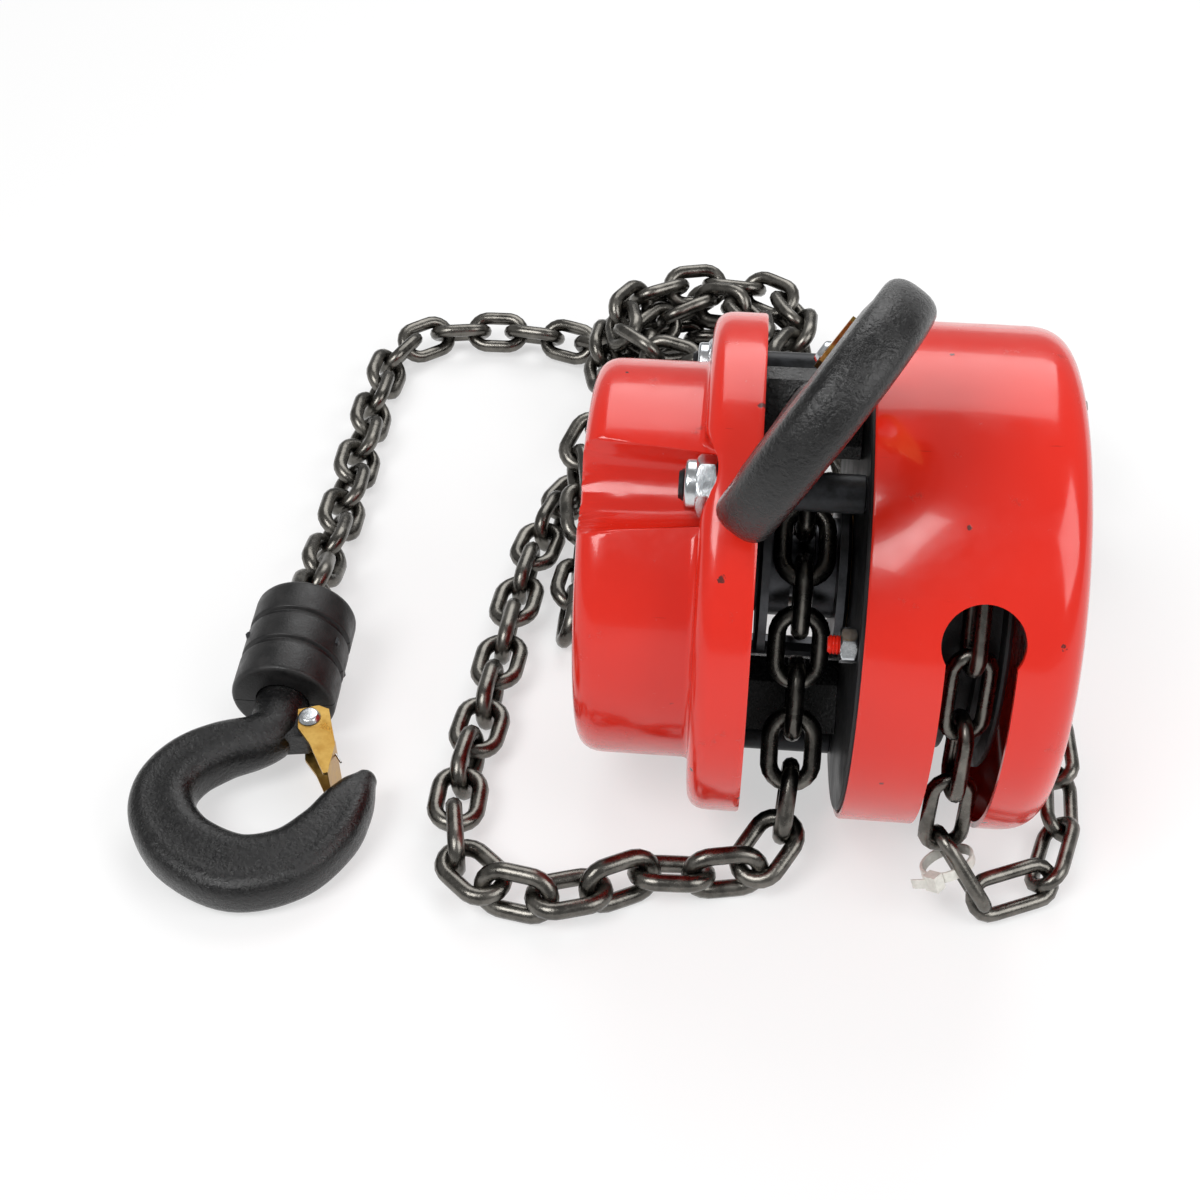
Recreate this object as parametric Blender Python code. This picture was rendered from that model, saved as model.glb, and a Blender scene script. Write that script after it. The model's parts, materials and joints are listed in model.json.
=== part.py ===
"""One tonne hand chain hoist at rest on a table, with its load chain and hand chain let down."""

import math

import bmesh
import bpy
import numpy as np
from mathutils import Matrix, Vector

for old in list(bpy.data.objects):
    bpy.data.objects.remove(old, do_unlink=True)

# Driving sizes, in millimetres. X runs along the hoist's axle, the hand wheel is at +X.
MM = 0.001
GAP = 0.3
LEAN_DEG = 33.0
COVER_R = 84.0
COVER_WALL = 2.0
DOME_R = 67.0
GEAR_OPEN_X = -16.5
GEAR_PAD_X = -26.5
GEAR_STEP_X = -34.0
GEAR_END_X = -72.0
WHEEL_OPEN_X = 16.5
WHEEL_END_X = 82.0
CORNER_R = 14.0
PLATE_T = 5.0
GEAR_PLATE_X = -24.2
WHEEL_PLATE_X = 15.5
STAY_RING_R = COVER_R - 15.0
STAY_R = 6.0
STAY_THREAD_R = 5.0
STAY_ANGLES = {"front": 25.0, "top": 107.0, "bottom": 247.0}
NUT_AF = 17.0
NUT_T = 10.0
STUD_RING_R = COVER_R - 13.0
STUD_R = 3.0
STUD_ANGLES = {"front": -13.0, "rear": 140.0, "bottom": 220.0}
LOAD_WIRE = 6.0
LOAD_PITCH = 18.0
LOAD_WIDTH = 20.5
HAND_WIRE = 5.0
HAND_PITCH = 25.0
HAND_WIDTH = 17.0
TAUT = 1.015
SHAFT_R = 7.0
JOURNAL_R = 16.0
SHEAVE_CREST_R = 17.0
SHEAVE_GROOVE_R = 10.4
SHEAVE_RIM_R = 30.0
WHEEL_X = 51.0
GEAR_CENTRES = 33.0
PINION_TEETH = 10
WHEEL_TEETH = 26
GEAR_ANGLES = {"front": -14.0, "rear": 166.0}
RATCHET_R = 42.0
RATCHET_TEETH = 12
PAWL_RING_R = 54.0
PAWL_ANGLE = 150.0
PAWL_ANGLES = {"upper": PAWL_ANGLE, "lower": PAWL_ANGLE + 180.0}
YOKE_Y = -24.0
YOKE_Z = 52.0
YOKE_FACE = 13.0
SHANK_ALPHA = 2.0
TOP_HOOK_TURN = 34.0
HOOK_NECK_R = 9.5
TOP_NECK = 40.0
LOAD_NECK = 19.0
BLOCK_R = 19.0
BLOCK_L = 44.0
BLOCK_TILT = 7.0
BLOCK_FOOT = (-183.0, -16.0)
AXLE_HEIGHT = COVER_R
MODULE = 2 * GEAR_CENTRES / (PINION_TEETH + WHEEL_TEETH)


def linear(hexcode):
    """Linear RGBA of an sRGB colour."""
    parts = [int(hexcode[i:i + 2], 16) / 255 for i in (0, 2, 4)]
    return [c / 12.92 if c < 0.04045 else ((c + 0.055) / 1.055) ** 2.4 for c in parts] + [1]


def material(name, hexcode, metallic, rough):
    mat = bpy.data.materials.new(name)
    mat.use_nodes = True
    shader = mat.node_tree.nodes["Principled BSDF"]
    shader.inputs["Base Color"].default_value = linear(hexcode)
    shader.inputs["Metallic"].default_value = metallic
    shader.inputs["Roughness"].default_value = rough
    mat.diffuse_color = linear(hexcode)
    return mat


PAINT = ("D9301F", 0.0, 0.3)
BLACK = ("1E1E20", 0.6, 0.55)
STEEL = ("6F7174", 1.0, 0.4)
ZINC = ("C4C6C8", 1.0, 0.3)
GOLD = ("C9A24A", 1.0, 0.35)
LINING = ("5A4A3A", 0.0, 0.9)
CHAIN = ("4A4B4E", 1.0, 0.38)


def frame(name, parent, place, turn=None):
    """An empty that carries the pieces of one group."""
    empty = bpy.data.objects.new(name, None)
    bpy.context.collection.objects.link(empty)
    empty.parent = parent
    empty.location = Vector(place) * MM
    if turn is not None:
        empty.rotation_mode = "QUATERNION"
        empty.rotation_quaternion = turn.to_quaternion()
    return empty


def piece(name, verts, faces, parent, look, origin=(0, 0, 0), smooth=True):
    """A named solid; verts are in millimetres in the parent's frame."""
    o = Vector(origin)
    mesh = bpy.data.meshes.new(name)
    mesh.from_pydata([(Vector(v) - o) * MM for v in verts], [], faces)
    bm = bmesh.new()
    bm.from_mesh(mesh)
    bmesh.ops.remove_doubles(bm, verts=bm.verts, dist=1e-6)
    bmesh.ops.recalc_face_normals(bm, faces=bm.faces)
    bm.to_mesh(mesh)
    bm.free()
    mesh.materials.append(material(name, *look))
    obj = bpy.data.objects.new(name, mesh)
    bpy.context.collection.objects.link(obj)
    obj.parent = parent
    obj.location = o * MM
    if smooth:
        mesh.shade_smooth()
    return obj


def combine(obj, other, how):
    """Joins or cuts obj with other, which is used up."""
    other.parent = obj.parent
    other.hide_render = True
    other.display_type = "WIRE"
    bpy.context.view_layer.update()
    step = obj.modifiers.new("step", "BOOLEAN")
    step.operation = how
    step.solver = "EXACT"
    step.object = other
    step.use_self = how == "UNION"
    graph = bpy.context.evaluated_depsgraph_get()
    mesh = bpy.data.meshes.new_from_object(obj.evaluated_get(graph))
    obj.modifiers.clear()
    mesh.name = obj.name
    obj.data = mesh
    bpy.data.objects.remove(other, do_unlink=True)
    bm = bmesh.new()
    bm.from_mesh(mesh)
    bmesh.ops.remove_doubles(bm, verts=bm.verts, dist=2e-6)
    bmesh.ops.dissolve_degenerate(bm, edges=bm.edges, dist=2e-6)
    bm.to_mesh(mesh)
    bm.free()
    while len(mesh.materials) > 1:
        mesh.materials.pop(index=1)
    return obj


def fill_pockets(obj):
    """Keeps the largest shell, so a pocket closed in between two crowns is filled."""
    bm = bmesh.new()
    bm.from_mesh(obj.data)
    left = set(bm.verts)
    shells = []
    while left:
        todo = [left.pop()]
        shell = set(todo)
        while todo:
            for edge in todo.pop().link_edges:
                for v in edge.verts:
                    if v in left:
                        left.discard(v)
                        shell.add(v)
                        todo.append(v)
        shells.append(shell)
    shells.sort(key=len)
    for shell in shells[:-1]:
        bmesh.ops.delete(bm, geom=list(shell), context="VERTS")
    bm.to_mesh(obj.data)
    bm.free()
    return obj


def cut(obj, other):
    return combine(obj, other, "DIFFERENCE")


def add(obj, other):
    return combine(obj, other, "UNION")


def at(r, alpha):
    """(y, z) at radius r and angle alpha, counted upward from the front."""
    a = math.radians(alpha)
    return (-r * math.cos(a), r * math.sin(a))


def lathe_data(profile, segs, start=0.0, sweep=360.0):
    """Closed (x, r) profile turned about X. A point with r = 0 is a pole."""
    whole = sweep > 359.9
    count = segs if whole else segs + 1
    verts, rings = [], []
    for x, r in profile:
        if r < 1e-6:
            rings.append([len(verts)] * count)
            verts.append((x, 0.0, 0.0))
            continue
        ring = []
        for i in range(count):
            y, z = at(r, start + sweep * i / segs)
            ring.append(len(verts))
            verts.append((x, y, z))
        rings.append(ring)
    faces = []
    n = len(profile)
    for k in range(n):
        a, b = rings[k], rings[(k + 1) % n]
        if profile[k][1] < 1e-6 and profile[(k + 1) % n][1] < 1e-6:
            continue
        for i in range(segs):
            j = (i + 1) % count
            quad = [a[i], a[j], b[j], b[i]]
            quad = [v for m, v in enumerate(quad) if v != quad[m - 1]]
            if len(quad) > 2:
                faces.append(quad)
    if not whole:
        faces.append([ring[0] for ring in rings])
        faces.append([ring[-1] for ring in rings])
    return verts, faces


def shifted(verts, y=0.0, z=0.0, x=0.0):
    return [(v[0] + x, v[1] + y, v[2] + z) for v in verts]


def lathe(name, profile, parent, look, segs=40, y=0.0, z=0.0, start=0.0, sweep=360.0, origin=(0, 0, 0)):
    verts, faces = lathe_data(profile, segs, start, sweep)
    return piece(name, shifted(verts, y, z), faces, parent, look, origin)


def rod(name, x0, x1, r, parent, look, y=0.0, z=0.0, segs=16, origin=(0, 0, 0)):
    return lathe(name, [(x0, 0), (x0, r), (x1, r), (x1, 0)], parent, look, segs, y, z, origin=origin)


def tool(x0, x1, r, parent, y=0.0, z=0.0, segs=24):
    """A plain cylinder along X used for cutting."""
    return rod("tool", x0, x1, r, parent, STEEL, y, z, segs)


def prism_data(outline, x0, x1):
    """A (y, z) outline drawn out along X."""
    n = len(outline)
    verts = [(x0, y, z) for y, z in outline] + [(x1, y, z) for y, z in outline]
    faces = [list(range(n)), list(range(2 * n - 1, n - 1, -1))]
    faces += [[i, (i + 1) % n, n + (i + 1) % n, n + i] for i in range(n)]
    return verts, faces


def prism(name, outline, x0, x1, parent, look, origin=(0, 0, 0)):
    verts, faces = prism_data(outline, x0, x1)
    return piece(name, verts, faces, parent, look, origin, smooth=False)


def box(name, low, high, parent, look):
    (a, b, c), (d, e, f) = low, high
    return prism(name, [(b, c), (e, c), (e, f), (b, f)], a, d, parent, look)


def circle(r, n, y=0.0, z=0.0, phase=0.0):
    return [(y + r * math.cos(phase + 2 * math.pi * i / n), z + r * math.sin(phase + 2 * math.pi * i / n))
            for i in range(n)]


def hexagon(af, y, z, phase=0.0):
    return circle(af / math.sqrt(3), 6, y, z, phase)


def gear_outline(teeth, tooth_at, y=0.0, z=0.0, slack=0.28):
    """Stub involute teeth, 25 degrees, with one tooth centred on the angle tooth_at."""
    press = math.radians(25)
    r0 = MODULE * teeth / 2
    base = r0 * math.cos(press)
    inv = math.tan(press) - press
    points = []
    for k in range(teeth):
        mid = tooth_at + 2 * math.pi * k / teeth
        half = []
        for r in (r0 - 1.05 * MODULE, r0 + 0.72 * MODULE):
            a = math.acos(min(1.0, base / max(r, base)))
            half.append((r, math.pi / (2 * teeth) + inv - (math.tan(a) - a) - slack / (2 * r0)))
        for r, h in half:
            points.append((y + r * math.cos(mid - h), z + r * math.sin(mid - h)))
        for r, h in reversed(half):
            points.append((y + r * math.cos(mid + h), z + r * math.sin(mid + h)))
    return points


def sweep_data(stations, sides, squared=2.0, head=0):
    """Rings about (centre, u, v, half u, half v) stations, closed at both ends; the head is round."""
    verts, faces = [], []
    for k, (c, u, v, a, b) in enumerate(stations):
        for i in range(sides):
            t = 2 * math.pi * (i + 0.5) / sides
            cu, sv = math.cos(t), math.sin(t)
            power = squared if k > head else 2.0
            cu = math.copysign(abs(cu) ** (2 / power), cu)
            sv = math.copysign(abs(sv) ** (2 / power), sv)
            verts.append(tuple(Vector(c) + Vector(u) * (a * cu) + Vector(v) * (b * sv)))
    n = len(stations)
    for k in range(n - 1):
        for i in range(sides):
            j = (i + 1) % sides
            faces.append([k * sides + i, k * sides + j, (k + 1) * sides + j, (k + 1) * sides + i])
    faces.append(list(range(sides)))
    faces.append(list(range((n - 1) * sides, n * sides)))
    return verts, faces


def smooth_path(points, per_span=8):
    """Catmull-Rom curve through the points."""
    p = [np.array(q, float) for q in points]
    p = [2 * p[0] - p[1]] + p + [2 * p[-1] - p[-2]]
    out = []
    for i in range(1, len(p) - 2):
        for s in range(per_span):
            t = s / per_span
            a, b, c, d = p[i - 1], p[i], p[i + 1], p[i + 2]
            out.append(0.5 * (2 * b + (c - a) * t + (2 * a - 5 * b + 4 * c - d) * t * t
                              + (3 * b - a - 3 * c + d) * t ** 3))
    out.append(p[-2])
    return np.array(out)


def tube_data(path, r, sides):
    """A round bar along a path, with frames carried along it without twist."""
    path = [Vector(q) for q in path]
    stations = []
    u = None
    for i, c in enumerate(path):
        t = (path[min(i + 1, len(path) - 1)] - path[max(i - 1, 0)]).normalized()
        if u is None:
            u = t.orthogonal()
        u = (u - t * u.dot(t)).normalized()
        stations.append((c, u, t.cross(u), r, r))
    return sweep_data(stations, sides)


def chain_steps(path, pitch):
    """Points one pitch apart in a straight line from each to the next."""
    out = [np.array(path[0], float)]
    k = 0
    while k < len(path) - 1:
        a, b = np.array(path[k], float), np.array(path[k + 1], float)
        d, f = b - a, a - out[-1]
        qa, qb, qc = d @ d, 2 * f @ d, f @ f - pitch * pitch
        root = qb * qb - 4 * qa * qc
        t = (-qb + math.sqrt(root)) / (2 * qa) if root >= 0 and qa > 0 else -1
        if 0 <= t <= 1:
            out.append(a + d * t)
        else:
            k += 1
    return out


def link_data(centre, along, across, wire, pitch, width, bars=8, sides=4):
    """One welded link as a round bar bent to a closed ring."""
    verts, faces = [], []
    bow = width / 2 - wire / 2
    reach = pitch / 2 + wire / 2 - bow
    normal = along.cross(across)
    for i in range(bars):
        t = 2 * math.pi * (i + 0.5) / bars
        sx, cx = math.sin(t), math.cos(t)
        c = centre + across * (bow * cx) + along * (bow * sx / math.cos(math.pi / bars) + math.copysign(reach, sx))
        out = (across * cx + along * sx).normalized()
        for j in range(sides):
            s = 2 * math.pi * j / sides
            verts.append(tuple(c + out * (wire / 2 * 1.06 * math.cos(s)) + normal * (wire / 2 * 1.06 * math.sin(s))))
    for i in range(bars):
        n = (i + 1) % bars
        for j in range(sides):
            m = (j + 1) % sides
            faces.append([i * sides + j, i * sides + m, n * sides + m, n * sides + j])
    return verts, faces


def chain(name, points, wire, pitch, width, parent, side, roll=0.0):
    """A strand of links, every second one turned a quarter, touching at the crowns as one body."""
    steps = chain_steps(smooth_path(points), pitch * TAUT)
    sets = ([[], []], [[], []])
    across = Vector(side)
    count = len(steps) - 1
    for k in range(count):
        a, b = Vector(steps[k]), Vector(steps[k + 1])
        along = (b - a).normalized()
        across = (across - along * across.dot(along)).normalized()
        lying = min(1.0, max(0.0, (16.0 - (a.z + b.z) / 2) / 6.0))
        turned = Matrix.Rotation(math.radians(roll * lying + 90 * (k % 2)), 3, along)
        v, f = link_data((a + b) / 2, along, turned @ across, wire, pitch, width)
        hold = sets[k % 2]
        base = len(hold[0])
        hold[0].extend(v)
        hold[1].extend([[i + base for i in face] for face in f])
    odd = piece(name, sets[0][0], sets[0][1], parent, CHAIN)
    even = piece("tool", sets[1][0], sets[1][1], parent, CHAIN)
    print(name, "links", count, "length mm", round(count * pitch))
    return fill_pockets(add(odd, even))


def least_gap(name, path, wire_r):
    """Prints the least gap of a wound bar to itself, measured between points along it."""
    points = [Vector(a).lerp(Vector(b), k / 6) for a, b in zip(path, path[1:]) for k in range(6)]
    spots = np.array([tuple(p) for p in points])
    along = np.cumsum([0.0] + [(b - a).length for a, b in zip(points, points[1:])])
    far = np.abs(along[:, None] - along[None, :]) > 12 * wire_r
    away = np.linalg.norm(spots[:, None] - spots[None, :], axis=2)
    print(name, "least gap to itself mm", round(float(away[far].min()) - 2 * wire_r, 2))


def coil(name, centre, low, high, turns, layers, wire_r, parent, edge):
    """A strand put away in flat spiral layers, one unbroken bar; edge: where the first layer ends."""
    path = []
    steps = 8
    for k in range(int(turns * layers * steps) + 1):
        s = k / steps
        layer = int(min(s // turns, layers - 1))
        part = s / turns - layer
        r = low + (high - low) * (part if layer % 2 == 0 else 1 - part)
        a = 2 * math.pi * (s - turns) + math.radians(edge)
        climb = max(0.0, 1 - (1 - part) * turns / 0.35)
        rise = (2 * wire_r + 2.8) * min(layer + climb, layers - 1)
        path.append((centre[0] + r * math.cos(a), centre[1] + r * math.sin(a), wire_r + 0.4 + rise))
    verts, faces = tube_data(path, wire_r, 4)
    least_gap(name, path, wire_r)
    return piece(name, verts, faces, parent, CHAIN)


# Groups: the whole assembly, the hoist leaning on its covers, the top hook, the load hook.
assembly = frame("assembly", None, (0, 0, 0))
hoist = frame("hoist_frame", assembly, (0, 0, AXLE_HEIGHT), Matrix.Rotation(math.radians(-LEAN_DEG), 3, "X"))
shank_turn = Matrix.Rotation(math.radians(90 - SHANK_ALPHA), 3, "X")
yoke_frame = frame("yoke_frame", hoist, (0, YOKE_Y, YOKE_Z), shank_turn)
top_hook_frame = frame("top_hook_frame", yoke_frame, (0, 0, YOKE_FACE),
                       Matrix.Rotation(math.radians(90 - TOP_HOOK_TURN), 3, "Z"))
tilt = math.radians(BLOCK_TILT)
block_axes = Matrix(((1, 0, 0), (0, -math.sin(tilt), -math.cos(tilt)), (0, math.cos(tilt), -math.sin(tilt))))
block_height = BLOCK_R * math.cos(tilt) + 0.1
load_hook_frame = frame("load_hook_frame", assembly, (*BLOCK_FOOT, block_height), block_axes)

# Gear cover: a pressed steel drum with a smaller drum in front and sunk pads for three nuts.
outer = [(GEAR_OPEN_X, 0), (GEAR_OPEN_X, COVER_R), (GEAR_STEP_X + 6, COVER_R), (GEAR_STEP_X + 1.8, COVER_R - 1.8),
         (GEAR_STEP_X, COVER_R - 6), (GEAR_STEP_X, DOME_R + 2), (GEAR_STEP_X - 2, DOME_R),
         (GEAR_END_X + 9, DOME_R), (GEAR_END_X + 2.6, DOME_R - 2.6), (GEAR_END_X, DOME_R - 9), (GEAR_END_X, 0)]
inner = [(GEAR_OPEN_X + 9, 0), (GEAR_OPEN_X + 9, COVER_R - COVER_WALL), (GEAR_STEP_X + 6, COVER_R - COVER_WALL),
         (GEAR_STEP_X + 3.2, COVER_R - 3.2), (GEAR_STEP_X + COVER_WALL, COVER_R - 6),
         (GEAR_STEP_X + COVER_WALL, DOME_R - COVER_WALL), (GEAR_END_X + 9, DOME_R - COVER_WALL),
         (GEAR_END_X + 4, DOME_R - 4), (GEAR_END_X + COVER_WALL, DOME_R - 9), (GEAR_END_X + COVER_WALL, 0)]
gear_cover = lathe("gear_cover", outer, hoist, PAINT, 24)
hollow = lathe("tool", inner, hoist, PAINT, 24)
for angle in STAY_ANGLES.values():
    y, z = at(STAY_RING_R, angle)
    cut(gear_cover, tool(GEAR_END_X - 20, GEAR_PAD_X, 12.5, hoist, y, z, 10))
    cut(hollow, tool(GEAR_END_X - 20, GEAR_PAD_X + COVER_WALL, 14.5, hoist, y, z, 10))
cut(gear_cover, hollow)
for angle in STAY_ANGLES.values():
    y, z = at(STAY_RING_R, angle)
    cut(gear_cover, tool(GEAR_PAD_X - 4, GEAR_PAD_X + 6, STAY_THREAD_R + GAP, hoist, y, z, 12))

# Hand wheel cover: a deep drum with a slot for the hand chain and a flange bolted to the side plate.
flange_x = WHEEL_PLATE_X + PLATE_T + GAP
e = WHEEL_END_X
w = COVER_WALL
c = CORNER_R
i = CORNER_R - w
wheel_profile = [(WHEEL_OPEN_X, COVER_R - w), (WHEEL_OPEN_X, COVER_R), (e - c, COVER_R),
                 (e - 0.61 * c, COVER_R - 0.08 * c), (e - 0.29 * c, COVER_R - 0.29 * c),
                 (e - 0.08 * c, COVER_R - 0.61 * c), (e, COVER_R - c), (e, 0), (e - w, 0), (e - w, COVER_R - c),
                 (e - w - 0.08 * i, COVER_R - w - 0.61 * i), (e - w - 0.29 * i, COVER_R - w - 0.29 * i),
                 (e - w - 0.61 * i, COVER_R - w - 0.08 * i), (e - c, COVER_R - w), (flange_x + w, COVER_R - w),
                 (flange_x + w, COVER_R - 22), (flange_x, COVER_R - 22), (flange_x, COVER_R - w)]
wheel_cover = lathe("wheel_cover", wheel_profile, hoist, PAINT, 24)
slot = lathe("tool", [(WHEEL_X - 10.5, 70), (WHEEL_X - 10.5, 95), (WHEEL_X + 10.5, 95), (WHEEL_X + 10.5, 70)],
             hoist, PAINT, 16, start=-8.0, sweep=-176.0)
cut(wheel_cover, slot)
for angle in (-8.0, 176.0):
    direction = Vector((0, *at(1, angle)))
    ring_a = [(WHEEL_X + 12.4 * math.cos(t), 12.4 * math.sin(t)) for t in
              (2 * math.pi * (i + 0.5) / 14 for i in range(14))]
    side = direction.cross(Vector((1, 0, 0)))
    verts = [tuple(direction * d + Vector((x, 0, 0)) + side * s) for d in (70, 95) for x, s in ring_a]
    faces = [list(range(14)), list(range(27, 13, -1))] + [[i, (i + 1) % 14, 14 + (i + 1) % 14, 14 + i]
                                                         for i in range(14)]
    cut(wheel_cover, piece("tool", verts, faces, hoist, PAINT))
for angle in STAY_ANGLES.values():
    y, z = at(STAY_RING_R, angle)
    cut(wheel_cover, tool(flange_x - 1, flange_x + w + 1, 8.0, hoist, y, z, 10))
for angle in STUD_ANGLES.values():
    y, z = at(STUD_RING_R, angle)
    cut(wheel_cover, tool(flange_x - 1, flange_x + w + 1, STUD_R + GAP, hoist, y, z, 8))

# Side plates: two steel discs that carry everything.
plate_r = COVER_R - COVER_WALL - 0.6
for name, x0 in (("gear_side_plate", GEAR_PLATE_X), ("wheel_side_plate", WHEEL_PLATE_X)):
    plate = rod(name, x0, x0 + PLATE_T, plate_r, hoist, BLACK, segs=24)
    holes = [(0, 0, 22.0, 16), (YOKE_Y, YOKE_Z, 7.3, 14)]
    holes += [(*at(STAY_RING_R, a), STAY_THREAD_R + GAP, 10) for a in STAY_ANGLES.values()]
    if name == "wheel_side_plate":
        holes += [(*at(STUD_RING_R, a), STUD_R + GAP, 8) for a in STUD_ANGLES.values()]
        holes += [(*at(PAWL_RING_R, a), 3.0 + GAP, 8) for a in PAWL_ANGLES.values()]
    else:
        holes += [(*at(GEAR_CENTRES, a), 4.0 + GAP, 10) for a in GEAR_ANGLES.values()]
    for y, z, r, n in holes:
        cut(plate, tool(x0 - 2, x0 + PLATE_T + 2, r, hoist, y, z, n))

# Stay bolts with lock nuts and spring washers on the gear cover.
gear_in = GEAR_PLATE_X + PLATE_T
for name, angle in STAY_ANGLES.items():
    y, z = at(STAY_RING_R, angle)
    end = GEAR_PAD_X - 14.6
    rivet = WHEEL_PLATE_X + PLATE_T + GAP
    profile = [(end, 0), (end, STAY_THREAD_R - 0.8), (end + 0.8, STAY_THREAD_R), (gear_in + GAP, STAY_THREAD_R),
               (gear_in + GAP, STAY_R), (WHEEL_PLATE_X - GAP, STAY_R), (WHEEL_PLATE_X - GAP, STAY_THREAD_R),
               (rivet, STAY_THREAD_R), (rivet, 7.0), (rivet + 2, 6.0), (rivet + 2, 0)]
    lathe("stay_" + name, profile, hoist, BLACK, 8, y, z)
    spring_face = GEAR_PAD_X - 0.2
    ring = [(spring_face, 5.4), (spring_face, 8.8), (spring_face - 2.4, 8.8), (spring_face - 2.4, 5.4)]
    lathe("spring_washer_" + name, ring, hoist, BLACK, 9, y, z, start=angle + 8, sweep=344)
    nut_x = spring_face - 2.6
    nut = prism("lock_nut_" + name, hexagon(NUT_AF, y, z, math.radians(15)), nut_x - 6.6, nut_x, hoist, ZINC)
    add(nut, lathe("tool", [(nut_x - NUT_T, 0), (nut_x - NUT_T, 6.4), (nut_x - NUT_T + 1.2, 7.8),
                            (nut_x - 5, 7.8), (nut_x - 5, 0)], hoist, ZINC, 10, y, z))
    cut(nut, tool(nut_x - 14, nut_x + 3, STAY_THREAD_R + GAP, hoist, y, z, 10))

# Cover studs: small bolts whose nuts sit on the plate's face in the gap.
for name, angle in STUD_ANGLES.items():
    y, z = at(STUD_RING_R, angle)
    head = flange_x + w + GAP
    lathe("cover_stud_" + name, [(WHEEL_PLATE_X - 9, 0), (WHEEL_PLATE_X - 9, STUD_R - 0.6),
                                 (WHEEL_PLATE_X - 8.4, STUD_R), (head, STUD_R), (head, 5.0), (head + 3.6, 4.4),
                                 (head + 3.6, 0)], hoist, PAINT, 8, y, z)
    nut = prism("cover_nut_" + name, hexagon(10.0, y, z, math.radians(40)), WHEEL_PLATE_X - 5.4,
                WHEEL_PLATE_X - 0.2, hoist, ZINC)
    cut(nut, tool(0, 30, STUD_R + 0.2, hoist, y, z, 8))

# Load sheave on plain bearings, bored for the drive shaft.
half = LOAD_WIDTH / 2 + 0.7
slit = LOAD_WIRE / 2 + 0.9
bore = SHAFT_R + 0.5
sheave = [(-37.0, bore), (-37.0, 14.5), (-25.0, 14.5), (-25.0, JOURNAL_R), (-14.6, JOURNAL_R), (-14.6, SHEAVE_RIM_R),
          (-half, SHEAVE_RIM_R), (-half, SHEAVE_CREST_R),
          (-slit, SHEAVE_CREST_R), (-slit, SHEAVE_GROOVE_R), (slit, SHEAVE_GROOVE_R), (slit, SHEAVE_CREST_R),
          (half, SHEAVE_CREST_R), (half, SHEAVE_RIM_R), (14.6, SHEAVE_RIM_R), (14.6, JOURNAL_R), (21.5, JOURNAL_R), (21.5, bore)]
lathe("load_sheave", sheave, hoist, STEEL, 16)
bearing_r = (JOURNAL_R + GAP) / math.cos(math.pi / 16)
for name, x0 in (("gear_side_bearing", GEAR_PLATE_X), ("wheel_side_bearing", WHEEL_PLATE_X)):
    lathe(name, [(x0, bearing_r), (x0, 21.7), (x0 + PLATE_T, 21.7), (x0 + PLATE_T, bearing_r)],
          hoist, ("B08A4A", 1.0, 0.4), 16)

# Gear train: shaft pinion, two disc gears, and the large gear on the sheave.
first = math.pi - math.radians(GEAR_ANGLES["front"])
load_gear = prism("load_gear", gear_outline(WHEEL_TEETH, first + math.pi / WHEEL_TEETH), -36.0, -28.0, hoist, STEEL)
cut(load_gear, tool(-40, -20, 14.5 + GAP, hoist, segs=16))
for name, angle in GEAR_ANGLES.items():
    y, z = at(GEAR_CENTRES, angle)
    toward = math.pi - math.radians(angle) + math.pi
    place = (0, y, z)
    gear = prism("disc_gear_" + name, gear_outline(WHEEL_TEETH, toward + math.pi / WHEEL_TEETH, y, z), -50.0, -42.0,
                 hoist, STEEL, place)
    add(gear, prism("tool", gear_outline(PINION_TEETH, toward, y, z), -43.0, -27.4, hoist, STEEL))
    add(gear, rod("tool", -57.6, GEAR_PLATE_X + PLATE_T, 4.0, hoist, STEEL, y, z, 10))
carrier = rod("gear_carrier", -58.0, -54.0, 53.0, hoist, BLACK, segs=18)
for angle in GEAR_ANGLES.values():
    y, z = at(GEAR_CENTRES, angle)
    cut(carrier, tool(-62, -50, 4.0 + GAP, hoist, y, z, 10))
cut(carrier, tool(-62, -50, 6.0 + GAP, hoist, segs=12))
for angle in (76.0, 256.0):
    y, z = at(47.0, angle)
    add(carrier, rod("tool", -55.0, GEAR_PLATE_X - GAP, 3.5, hoist, BLACK, y, z, 8))
shaft = lathe("drive_shaft", [(-57.6, 0), (-57.6, 6.0), (-41.0, 6.0), (-41.0, SHAFT_R), (77.0, SHAFT_R), (78.0, SHAFT_R - 1),
                              (78.0, 0)], hoist, STEEL, 14)
add(shaft, prism("tool", gear_outline(PINION_TEETH, first), -51.0, -40.4, hoist, STEEL))

# Brake stack: hub, two lined discs, the ratchet between them, and the hand wheel that clamps them.
ring_in = 14.4
lathe("brake_hub", [(25.5, SHAFT_R + GAP), (25.5, 32.0), (30.3, 32.0), (30.3, 14.0), (41.6, 14.0),
                    (41.6, SHAFT_R + GAP)], hoist, STEEL, 16)
for name, x0 in (("inner", 30.6), ("outer", 38.9)):
    lathe("brake_disc_" + name, [(x0, ring_in), (x0, 32.0), (x0 + 2.7, 32.0), (x0 + 2.7, ring_in)], hoist, LINING, 16)
teeth = []
pawl_first = math.pi - math.radians(PAWL_ANGLES["upper"])
for k in range(RATCHET_TEETH):
    a = pawl_first + 2 * math.pi * k / RATCHET_TEETH
    step = 2 * math.pi / RATCHET_TEETH
    teeth += [(RATCHET_R * math.cos(a + q), RATCHET_R * math.sin(a + q)) for q in (0.0, 0.06)]
    teeth.append(((RATCHET_R - 5) * math.cos(a + step - 0.03), (RATCHET_R - 5) * math.sin(a + step - 0.03)))
ratchet = prism("ratchet_disc", teeth, 33.6, 38.6, hoist, STEEL)
cut(ratchet, tool(30, 42, ring_in, hoist, segs=16))
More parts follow.
